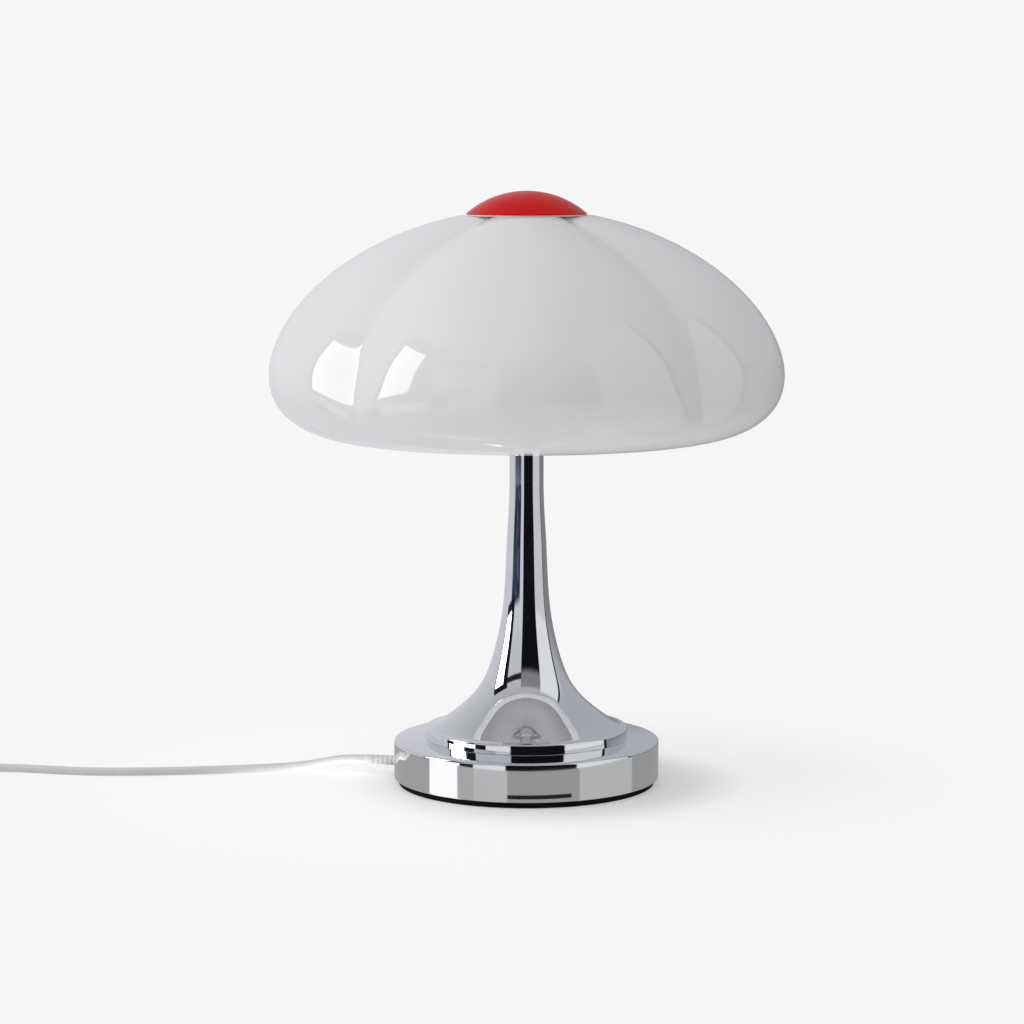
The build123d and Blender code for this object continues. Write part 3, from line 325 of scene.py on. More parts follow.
# ---------------------------------------------------------------- outlines and turned pieces
def arc(centre: tuple[float, float], radius: float, start: float, end: float, steps: int = 8) -> Outline:
    """Set out points on a round.

    Args:
        centre: its radius and height, in millimetres.
        radius: the radius of the round.
        start: first angle in degrees, 0 outwards and 90 up.
        end: last angle in degrees.
        steps: how many parts it is divided into.

    Returns:
        The points, both ends among them.
    """
    angles = [math.radians(start + (end - start) * step / steps) for step in range(steps + 1)]
    return [(centre[0] + radius * math.cos(a), centre[1] + radius * math.sin(a)) for a in angles]


def hold_edges(outline: Outline, hold: float = 0.15, longest: float = 4.0) -> Outline:
    """Add rings next to the ends of each long run, so that it shades flat.

    Args:
        outline: the points, in millimetres.
        hold: how far from a corner the extra rings are.
        longest: the longest run that is left whole.

    Returns:
        The outline with the extra points.
    """
    points = [outline[0]]
    for (r0, z0), (r1, z1) in zip(outline, outline[1:]):
        length = math.hypot(r1 - r0, z1 - z0)
        if length > 6 * hold:
            count = max(1, math.ceil(length / longest))
            shares = [hold / length] + [k / count for k in range(1, count)] + [1 - hold / length]
            points += [(r0 + (r1 - r0) * s, z0 + (z1 - z0) * s) for s in shares]
        points.append((r1, z1))
    return points


def turned(name: str, outline: Outline, steps: int, smooth: float = 35.0) -> bpy.types.Object:
    """Turn an outline about the lamp's axis, as on a lathe.

    Args:
        name: the piece's name.
        outline: its radius and height points in millimetres, closed, or from axis to axis.
        steps: how many parts a turn has.
        smooth: corners sharper than this many degrees stay sharp.

    Returns:
        The closed piece.
    """
    bpy.ops.object.select_all(action="DESELECT")
    bpy.ops.mesh.primitive_plane_add(size=MM)
    piece = bpy.context.object
    piece.name = name
    bpy.ops.object.mode_set(mode="EDIT")
    bpy.ops.mesh.select_all(action="SELECT")
    bpy.ops.mesh.merge(type="CENTER")
    bpy.ops.transform.translate(value=(outline[0][0] * MM, 0, outline[0][1] * MM))
    for (r0, z0), (r1, z1) in zip(outline, outline[1:]):
        move = {"value": ((r1 - r0) * MM, 0, (z1 - z0) * MM)}
        bpy.ops.mesh.extrude_vertices_move(TRANSFORM_OT_translate=move)
    bpy.ops.mesh.select_all(action="SELECT")
    bpy.ops.mesh.spin(steps=steps, angle=FULL_TURN, center=(0, 0, 0), axis=(0, 0, 1))
    bpy.ops.mesh.select_all(action="SELECT")
    bpy.ops.mesh.remove_doubles(threshold=JOIN_GAP * MM)
    bpy.ops.mesh.normals_make_consistent(inside=False)
    bpy.ops.object.mode_set(mode="OBJECT")
    bpy.ops.object.shade_smooth_by_angle(angle=math.radians(smooth))
    return piece


def set_down(piece: bpy.types.Object, turn: Point, place: Point) -> None:
    """Turn and move a piece, and leave its object at the origin.

    Args:
        piece: the object.
        turn: its turns about X, Y and Z in radians.
        place: where its origin goes, in metres.
    """
    bpy.ops.object.select_all(action="DESELECT")
    piece.select_set(True)
    bpy.context.view_layer.objects.active = piece
    piece.rotation_euler = turn
    piece.location = place
    bpy.ops.object.transform_apply(location=True, rotation=True, scale=True)


# ---------------------------------------------------------------- glass shade
@dataclass
class GlassShade:
    """The opal shade: one blown dome of four lobes, curled in at its open bottom. Sizes in millimetres."""

    radius: float = 150.0
    widest: float = 242.0
    dome_rise: float = 95.5
    top: float = 333.4
    dome_powers: tuple[float, float] = (2 / 1.95, 2 / 1.75)
    roll_width: float = 58.0
    roll_drop: float = 38.2
    roll_power: float = 2 / 2.3
    rim: float = 204.6
    mouth: float = 104.0
    wall: float = 3.0
    hole: float = 5.4
    lobes: int = 4
    offset: float = 44.0
    offset_share: float = 0.52
    fade: float = 46.0
    crease: float = 2.2
    offset_power: int = -6
    level_slack: float = 0.01
    outer_parts: tuple[int, int] = (34, 64)
    inner_parts: tuple[int, int] = (16, 36)
    flat_parts: int = 6
    steps: int = 384

    def level(self, angle: float, inset: float) -> tuple[float, float]:
        """Give the radius and height at a place on the outline.

        Args:
            angle: 90 at the top, 0 at the widest level, negative below it.
            inset: how far inside the outer surface.

        Returns:
            The radius and the height.
        """
        up = math.sin(math.radians(abs(angle)))
        out = math.cos(math.radians(abs(angle)))
        if angle >= 0:
            radius = (self.radius - inset) * out ** self.dome_powers[0]
            return radius, self.widest + (self.dome_rise - inset) * up ** self.dome_powers[1]
        centre = self.radius - self.roll_width
        radius = centre + (self.roll_width - inset) * out ** self.roll_power
        return radius, self.widest - (self.roll_drop - inset) * up ** self.roll_power

    def ends(self, inset: float, low: float, high: float) -> tuple[float, float]:
        """Give the outline's angles at two heights.

        Args:
            inset: how far inside the outer surface.
            low: the lower height.
            high: the upper height.

        Returns:
            The angle below the widest level and the angle above it.
        """
        down = (self.widest - low) / (self.roll_drop - inset)
        up = (high - self.widest) / (self.dome_rise - inset)
        start = -math.degrees(math.asin(down ** (1 / self.roll_power)))
        return start, math.degrees(math.asin(up ** (1 / self.dome_powers[1])))

    def side(self, inset: float, low: float, high: float, roll: int, dome: int) -> Outline:
        """Set out one surface from its lower end to the top.

        Args:
            inset: how far inside the outer surface.
            low: its lowest height.
            high: its highest height.
            roll: parts below the widest level.
            dome: parts above it.

        Returns:
            Its points from the bottom up.
        """
        start, end = self.ends(inset, low, high)
        angles = [start * (1 - k / roll) for k in range(roll)] + [end * k / dome for k in range(dome + 1)]
        return [self.level(angle, inset) for angle in angles]

    def outline(self) -> Outline:
        """Set out the closed outline of the wall.

        Returns:
            Outer side up, top, hole, inner side down, and the rounded rim.
        """
        outer = self.side(0.0, self.rim, self.top, *self.outer_parts)
        inner = self.side(self.wall, self.rim + self.wall, self.top - self.wall, *self.inner_parts)
        rim_centre = (self.mouth + self.wall / 2, self.rim + self.wall / 2)
        across = outer[-1][0]
        parts = self.flat_parts
        top = [(self.hole + (across - self.hole) * (1 - k / parts), self.top) for k in range(1, parts + 1)]
        under = inner[-1][0]
        back = [(self.hole + (under - self.hole) * k / parts, self.top - self.wall) for k in range(parts + 1)]
        rim = arc(rim_centre, self.wall / 2, 90, 270, 8)
        return outer + top + back + inner[-2::-1] + rim + [outer[0]]

    def lobe_scale(self, radius: float, height: float, from_crease: float) -> float:
        """Say how much a ring is drawn in or out at an angle from the nearest crease.

        Args:
            radius: the ring's radius.
            height: the ring's height.
            from_crease: the angle in degrees.

        Returns:
            The factor on the radius.
        """
        half = 180.0 / self.lobes
        soft = math.hypot(from_crease, self.crease) * half / math.hypot(half, self.crease)
        turn = math.radians(half - soft)
        power = self.offset_power
        offset = ((self.offset_share * radius) ** power + self.offset ** power) ** (1 / power)
        offset *= math.sin(0.5 * math.pi * min(1.0, max(0.0, (height - self.rim) / self.fade)))
        across = offset * math.sin(turn)
        return (offset * math.cos(turn) + math.sqrt((radius - offset) ** 2 - across ** 2)) / radius

    def draw_lobes(self, piece: bpy.types.Object) -> None:
        """Pull the turned dome into its lobes, and leave the hole in its top round."""
        spacing = 360.0 / self.lobes
        flat_edge = self.level(self.ends(0.0, self.rim, self.top)[1], 0.0)[0]
        for vertex in piece.data.vertices:
            x, y, z = (value / MM for value in vertex.co)
            radius = math.hypot(x, y)
            angle = (math.degrees(math.atan2(y, x)) + spacing / 2) % spacing
            scale = self.lobe_scale(radius, z, min(angle, spacing - angle))
            if z > self.top - self.wall - self.level_slack:
                share = min(1.0, (radius - self.hole) / (flat_edge - self.hole))
                scale = 1 + (scale - 1) * share
            vertex.co = (x * scale * MM, y * scale * MM, z * MM)

    def build(self) -> None:
        """Turn the wall, draw its lobes and put it on the shade's body."""
        piece = turned("shade_glass", self.outline(), self.steps, 40.0)
        self.draw_lobes(piece)
        settle(piece, "shade", "opal_glass", "glass_shade")


# ---------------------------------------------------------------- red cap
@dataclass
class RedCap:
    """The red dome that screws down on the shade. Sizes in millimetres."""

    radius: float = 35.6
    rise: float = 13.47
    rim: float = 334.23
    wall: float = 1.5
    edge: float = 0.45

    def outline(self) -> Outline:
        """Set out the cap from the middle of its top, round its rim and back inside.

        Returns:
            The points, from axis to axis.
        """
        ball = (self.radius ** 2 + self.rise ** 2) / (2 * self.rise)
        centre = (0.0, self.rim + self.rise - ball)
        rim_angle = math.degrees(math.asin((self.rim + self.edge - centre[1]) / ball))
        outer = arc(centre, ball, 90, rim_angle, 48)
        rounding = arc((outer[-1][0] - self.edge, self.rim + self.edge), self.edge, 0, -90, 5)
        inside = ball - self.wall
        inner_angle = math.degrees(math.asin((self.rim - centre[1]) / inside))
        return outer + rounding + arc(centre, inside, inner_angle, 90, 30)

    def build(self) -> None:
        """Turn the cap and put it on the cap's body."""
        outline = [(max(0.0, radius), height) for radius, height in self.outline()]
        settle(turned("cap_dome", outline, 160), "cap", "red_gloss", "red_cap")


# ---------------------------------------------------------------- chrome column and base
@dataclass
class Column:
    """The chrome trumpet with its stepped foot. Sizes in millimetres."""

    foot: float = 59.7
    floor: float = 27.5
    foot_top: float = 33.5
    foot_round: float = 1.2
    rim: float = 3.6
    slope: float = 0.5
    tube: float = 10.0
    tube_start: float = 178.0
    top: float = 208.0
    wall: float = 1.5
    end_wall: float = 2.5
    bore: float = 5.0
    foot_corner: float = 0.3
    head_round: float = 0.5
    parts: int = 110
    waist: tuple[tuple[float, float], ...] = ((41.0, 43.6), (28.3, 56.5), (19.3, 77.5), (14.1, 103.0),
                                              (11.6, 143.0))

    def trumpet(self, count: int) -> tuple[Outline, Outline]:
        """Draw one smooth curve through the trumpet's places, from the foot up.

        Args:
            count: how many parts it is divided into.

        Returns:
            The outer points, and the points of the inner wall.
        """
        places = np.array([(self.foot - self.rim, self.foot_top), *self.waist, (self.tube, self.tube_start)])
        spans = np.linalg.norm(np.diff(places, axis=0), axis=1)
        knots = np.concatenate([[0.0], np.cumsum(spans)])
        size = len(places)
        rows = np.zeros((size, size))
        sums = np.zeros((size, 2))
        rows[0, 0] = rows[-1, -1] = 1.0
        sums[0] = np.array((-1.0, self.slope)) / math.hypot(1.0, self.slope)
        sums[-1] = (0.0, 1.0)
        for k in range(1, size - 1):
            before, after = spans[k - 1], spans[k]
            rows[k, k - 1:k + 2] = after, 2 * (before + after), before
            sums[k] = 3 * (before * (places[k + 1] - places[k]) / after
                           + after * (places[k] - places[k - 1]) / before)
        slopes = np.linalg.solve(rows, sums)
        outer: Outline = []
        inner: Outline = []
        for knot in np.linspace(0.0, knots[-1], count + 1):
            k = min(int(np.searchsorted(knots, knot, side="right")) - 1, size - 2)
            span, t = spans[k], (knot - knots[k]) / spans[k]
            spot = ((2 * t ** 3 - 3 * t ** 2 + 1) * places[k] + (t ** 3 - 2 * t ** 2 + t) * span * slopes[k]
                    + (3 * t ** 2 - 2 * t ** 3) * places[k + 1] + (t ** 3 - t ** 2) * span * slopes[k + 1])
            way = ((6 * t ** 2 - 6 * t) / span * (places[k] - places[k + 1])
                   + (3 * t ** 2 - 4 * t + 1) * slopes[k] + (3 * t ** 2 - 2 * t) * slopes[k + 1])
            way = way / np.linalg.norm(way)
            outer.append((float(spot[0]), float(spot[1])))
            inner.append((float(spot[0] - way[1] * self.wall), float(spot[1] + way[0] * self.wall)))
        return outer, inner

    def outline(self) -> Outline:
        """Set out the closed outline of the column's wall.

        Returns:
            The points from the foot up the outside and down the inside.
        """
        outer, inner = self.trumpet(self.parts)
        foot = [(self.foot - self.foot_corner, self.floor), (self.foot, self.floor + self.foot_corner)]
        foot += arc((self.foot - self.foot_round, self.foot_top - self.foot_round), self.foot_round, 0, 90)
        end = self.top - self.end_wall
        head = arc((self.tube - self.head_round, self.top - self.head_round), self.head_round, 0, 90, 4)
        head += [(self.bore, self.top), (self.bore, end), (self.tube - self.wall, end)]
        inside_foot = self.foot - self.wall
        back = [(inside_foot, inner[0][1]), (inside_foot, self.floor), foot[0]]
        return hold_edges(foot) + outer + hold_edges([outer[-1], *head])[1:] + inner[::-1] + back

    def build(self) -> None:
        """Turn the column and put it on the lamp."""
        settle(turned("column_chrome", self.outline(), 192, 40.0), "lamp", "chrome", "column")


@dataclass
class Base:
    """The chrome disc cover and the rubber pad under it. Sizes in millimetres."""

    radius: float = 78.0
    bottom: float = 3.7
    edge_top: float = 25.9
    crown: float = 27.5
    crown_radius: float = 59.7
    wall: float = 2.0
    edge_round: float = 1.3
    lip_round: float = 0.5
    wire_hole: float = 9.0
    pad_radius: float = 75.5
    pad_width: float = 19.5
    pad_round: float = 0.7
    pad_top_round: float = 0.3
    pad_grooves: tuple[float, ...] = (61.0, 65.7, 70.4)
    groove_mouth: float = 0.9
    groove_floor: float = 0.6
    groove_depth: float = 0.9

    def cover_outline(self) -> Outline:
        """Set out the cover's closed outline, from the bottom of its side over the top and back inside."""
        fall = math.atan2(self.crown - self.edge_top, self.radius - self.crown_radius)
        centre_radius = self.radius - self.edge_round
        line = self.edge_top + self.edge_round * math.tan(fall)
        centre = (centre_radius, line - self.edge_round / math.cos(fall))
        points = arc((self.radius - self.lip_round, self.bottom + self.lip_round), self.lip_round, -90, 0, 4)
        points += arc(centre, self.edge_round, 0, 90 - math.degrees(fall), 10)
        points += [(self.crown_radius, self.crown), (self.wire_hole, self.crown)]
        under, inside = self.crown - self.wall, self.radius - self.wall
        points += [(self.wire_hole, under), (self.crown_radius - self.wall, under)]
        points += [(inside, self.edge_top - self.wall), (inside, self.bottom)]
        return hold_edges(points + points[:1])

    def pad_outline(self) -> Outline:
        """Set out the pad's closed outline, with rounded edges and grooves in its underside."""
        inner = self.pad_radius - self.pad_width
        rounding = self.pad_round
        points = arc((self.pad_radius - rounding, rounding), rounding, -90, 0, 4)
        top_round = self.pad_top_round
        points += arc((self.pad_radius - top_round, self.bottom - top_round), top_round, 0, 90, 2)
        points += [(inner, self.bottom)] + arc((inner + rounding, rounding), rounding, 180, 270, 4)
        for middle in self.pad_grooves:
            points += [(middle - self.groove_mouth, 0.0), (middle - self.groove_floor, self.groove_depth)]
            points += [(middle + self.groove_floor, self.groove_depth), (middle + self.groove_mouth, 0.0)]
        return hold_edges(points + points[:1], longest=8.0)

    def build(self) -> None:
        """Turn the cover and the pad and put them on the lamp."""
        settle(turned("base_chrome", self.cover_outline(), 256, 40.0), "lamp", "chrome", "base_cover")
        settle(turned("base_pad", self.pad_outline(), 160), "lamp", "black_rubber", "foot_pad")


# ---------------------------------------------------------------- cord
@dataclass
class CordBushing:
    """The moulded bushing where the cord leaves the base, with a slim ribbed boot. Sizes in millimetres."""

    start: float = 74.3
    wall_end: float = 78.0
    collar: tuple[float, float] = (4.4, 1.5)
    neck: float = 3.2
    lip: tuple[float, float] = (3.6, 0.6)
    boot: tuple[float, float, float] = (2.95, 2.65, 20.0)
    bore: float = 2.4
    ribs: int = 5
    rib_pitch: float = 2.8
    rib_depth: float = 0.12
    first_rib: float = 2.0
    groove: tuple[float, float, float] = (0.2, 0.9, 1.1)
    corner: float = 0.2
    tip_corner: float = 0.15
    height: float = 9.0
    bearing: float = 167.0

    def outline(self) -> Outline:
        """Set out the bushing along its own axis, from inside the wall to the boot's tip."""
        collar_end = self.start + self.collar[1]
        lip_end = self.wall_end + self.lip[1]
        root, tip, length = self.boot
        lip_corner = self.lip[0] - self.corner
        boot_end = lip_end + length
        slope_in, floor_end, slope_out = self.groove
        points = [(self.bore, self.start), (self.collar[0], self.start), (self.collar[0], collar_end)]
        points += [(self.neck, collar_end), (self.neck, self.wall_end), (lip_corner, self.wall_end)]
        points += [(self.lip[0], self.wall_end + self.corner), (lip_corner, lip_end), (root, lip_end)]
        for rib in range(self.ribs):
            low = lip_end + self.first_rib + rib * self.rib_pitch
            outer = root + (tip - root) * (low - lip_end) / length
            inner = outer - self.rib_depth
            points += [(outer, low), (inner, low + slope_in)]
            points += [(inner, low + floor_end), (outer, low + slope_out)]
        points += [(tip, boot_end - self.corner), (tip - self.tip_corner, boot_end), (self.bore, boot_end)]
        return points + points[:1]

    def build(self) -> None:
        """Turn the bushing and set it down along the cord's way out of the base."""
        piece = turned("cord_sleeve", self.outline(), 48, 50.0)
        set_down(piece, (0.0, math.pi / 2, math.radians(self.bearing)), (0.0, 0.0, self.height * MM))
        settle(piece, "lamp", "cord_plastic", "cord_bushing")


@dataclass
class MainsCord:
    """The cord outside the lamp: a lead to the switch, and the rest in a coil up to the plug. Metres."""

    radius: float = 0.0025
    rest: float = 0.0026
    bearing: float = 167.0
    boot_tip: float = 0.0986
    exit_height: float = 0.009
    end_run: float = 0.011
    switch_inlet: Point = (-0.320, 0.020, 0.004)
    switch_outlet: Point = (-0.400, 0.020, 0.004)
    plug_boot_end: Point = (-0.4005, -0.099, 0.0069)
    coil_middle: tuple[float, float] = (-0.4022, -0.045)
    coil_turns: float = 7.0
    coil_radius: float = 0.0396
    coil_pitch: float = 0.0056
    points_per_turn: int = 24

    def lead_route(self) -> list[Point]:
        """Give the lead's points, from the bushing's boot down to the surface and on to the switch."""
        way = Vector((math.cos(math.radians(self.bearing)), math.sin(math.radians(self.bearing)), 0.0))
        rise = Vector((0.0, 0.0, self.exit_height))
        tip = tuple(way * self.boot_tip + rise)
        ahead = tuple(way * (self.boot_tip + self.end_run) + rise)
        x, y, z = self.switch_inlet
        return [
            tip, ahead, (-0.120, 0.0273, 0.0064), (-0.134, 0.0282, 0.0038), (-0.151, 0.0268, 0.0027),
            (-0.173, 0.0228, self.rest), (-0.203, 0.0178, self.rest), (-0.237, 0.0148, self.rest),
            (-0.266, 0.0150, 0.0028), (-0.289, 0.0176, 0.0035), (x + self.end_run, y, z), (x, y, z),
        ]

    def coil_point(self, turns: float) -> Vector:
        """Give the middle of the coiled cord: in, up a layer, and out again.

        Args:
            turns: how many turns from the coil's start.

        Returns:
            The place.
        """
        half = self.coil_turns / 2
        radius = self.coil_radius - self.coil_pitch * (half - abs(half - turns))
        share = min(1.0, max(0.0, (turns - half) / 0.5 + 0.5))
        climb = self.coil_pitch * share * share * (3 - 2 * share)
        angle = math.pi + FULL_TURN * turns
        x, y = self.coil_middle
        return Vector((x + radius * math.cos(angle), y + radius * math.sin(angle), self.rest + climb))

    def rest_route(self) -> list[Point]:
        """Give the points from the switch round into the coil, through its turns and on to the plug."""
        x, y, z = self.switch_outlet
        step = 0.01
        turns = self.coil_turns
        start_way = (self.coil_point(step) - self.coil_point(-step)).normalized()
        end_way = (self.coil_point(turns + step) - self.coil_point(turns - step)).normalized()
        entry = self.coil_point(0.0) - start_way * 2 * self.radius
        leave = self.coil_point(turns) + end_way * 2 * self.radius
        count = round(turns * self.points_per_turn)
        coil = [tuple(self.coil_point(k / self.points_per_turn)) for k in range(count + 1)]
        px, py, pz = self.plug_boot_end
        return [
            (x, y, z), (x - self.end_run, y, z), (-0.4248, 0.0150, 0.0034), (-0.4354, 0.0056, 0.0028),
            (-0.4412, -0.0082, self.rest), tuple(entry - start_way * self.end_run), tuple(entry), *coil,
            tuple(leave), tuple(leave + end_way * self.end_run), (-0.4406, -0.0744, 0.0056),
            (-0.4346, -0.0862, 0.0032), (-0.4246, -0.0944, 0.0040), (px - self.end_run, py, pz), (px, py, pz),
        ]

    def lay(self, name: str, route: list[Point]) -> bpy.types.Object:
        """Lay a round cord along a route.

        Args:
            name: the piece's name.
            route: its points in metres.

        Returns:
            The curve.
        """
        curve = bpy.data.curves.new(name, "CURVE")
        curve.dimensions = "3D"
        curve.resolution_u = 6
        curve.bevel_depth = self.radius
        curve.bevel_resolution = 4
        curve.use_fill_caps = True
        spline = curve.splines.new("NURBS")
        spline.points.add(len(route) - 1)
        for point, place in zip(spline.points, route):
            point.co = (*place, 1.0)
        spline.order_u = 3
        spline.use_endpoint_u = True
        piece = bpy.data.objects.new(name, curve)
        bpy.context.scene.collection.objects.link(piece)
        return piece

    def build(self) -> None:
        lead = self.lay("lead_cord", self.lead_route())
        settle(lead, "lamp", "cord_plastic", "cord_lead")
        rest = self.lay("coiled_cord", self.rest_route())
        settle(rest, "lamp", "cord_plastic", "cord_link", "cord_coil", "cord_tail")


# ---------------------------------------------------------------- pieces taken over from the frame
class FramePieces:
    """The pieces whose shape is taken over from the frame, dressed in the finish of their slot."""

    def build(self) -> None:
        """Dress every node of the frame."""
        for part in frame["record"]["subparts"]:
            dress(frame["nodes"][part["node"]], part["material_slot"])
            LOG.info("%s is dressed in %s", part["node"], part["material_slot"])


# ---------------------------------------------------------------- studio
@dataclass(frozen=True)
class Patch:
    """One thing in the room that polished pieces show: from, to and softness in degrees, and its colour.

    The bearing is 0 towards the camera and positive to its right. The rise is 0 level and positive upwards.
    """

    bearing: tuple[float, float, float]
    rise: tuple[float, float, float]
    colour: Colour


@dataclass(frozen=True)
class SoftLight:
    """A flat light that polished pieces don't show. Metres, and how bright its surface is, where 1 is white."""

    name: str
    place: Point
    target: Point
    size: tuple[float, float]
    radiance: float


LIGHTS = (
    SoftLight("window", (-1.5, -0.35, 0.85), (0.0, 0.0, 0.27), (0.8, 0.8), 1.7),
    SoftLight("sky", (-0.9, -0.5, 2.2), (0.0, 0.0, 0.2), (1.6, 1.6), 0.75),
)

# the room behind the patches: two colours each, and the bearing or rise over which one goes into the other
WALLS = ((0.67, 0.69, 0.73), (0.24, 0.25, 0.265))
WALL_BEARING = (98.0, 106.0)
CEILING = ((0.62, 0.635, 0.665), (0.36, 0.37, 0.39))
CEILING_RISE = (20.0, 80.0)
WALLS_TO_CEILING = (4.0, 22.0)

# a mottled dark blue strip low on the left: from, to and softness in degrees, and its two colours
BLUE_BEARING = (-82.0, -35.0, 2.0)
BLUE_RISE = (-7.0, 1.5, 1.5)
BLUE = ((0.012, 0.018, 0.036), (0.11, 0.14, 0.20))
BLUE_MOTTLE = (0.42, 0.62)

# each patch covers the ones before it
ROOM = (
    Patch((108.0, 181.0, 8.0), (4.0, 65.0, 8.0), (0.46, 0.475, 0.51)),
    Patch((44.0, 98.0, 1.5), (-90.0, 50.0, 3.0), (0.86, 0.87, 0.89)),
    Patch((44.0, 98.0, 1.5), (-7.5, 4.0, 2.0), (0.66, 0.67, 0.68)),
    Patch((-47.0, -18.0, 1.5), (-90.0, -8.0, 2.0), (0.88, 0.88, 0.89)),
    Patch((98.0, 103.0, 0.6), (-20.0, 50.0, 3.0), (0.02, 0.02, 0.025)),
    Patch((-18.0, 43.5, 1.0), (-20.0, 46.0, 3.0), (0.26, 0.25, 0.255)),
    Patch((-18.0, 43.5, 1.0), (-20.0, 29.0, 3.5), (0.006, 0.006, 0.007)),
    Patch((-66.0, -17.0, 1.0), (30.0, 36.0, 1.0), (0.02, 0.02, 0.025)),
    Patch((-102.0, -47.0, 0.5), (-20.0, -7.0, 0.5), (0.01, 0.01, 0.015)),
    Patch((-91.0, -60.0, 0.4), (-20.0, -7.0, 0.4), (1.3, 1.3, 1.3)),
    Patch((-100.0, -61.0, 0.4), (-0.5, 42.0, 0.4), (0.01, 0.012, 0.018)),
    Patch((-97.0, -75.0, 0.3), (2.5, 34.0, 0.3), (5.5, 5.5, 5.5)),
)

# painted light and shade on the floor, which only the base's wall reflects, as upright lines on the wall:
# degrees round from its front, and how bright the floor is to the right of each
PAINTED_FLOOR_STRIPES = ((-45.7, 1.25), (-30.6, 0.48), (-22.8, 0.58), (-8.3, 0.37), (22.6, 0.55), (50.9, 0.36))


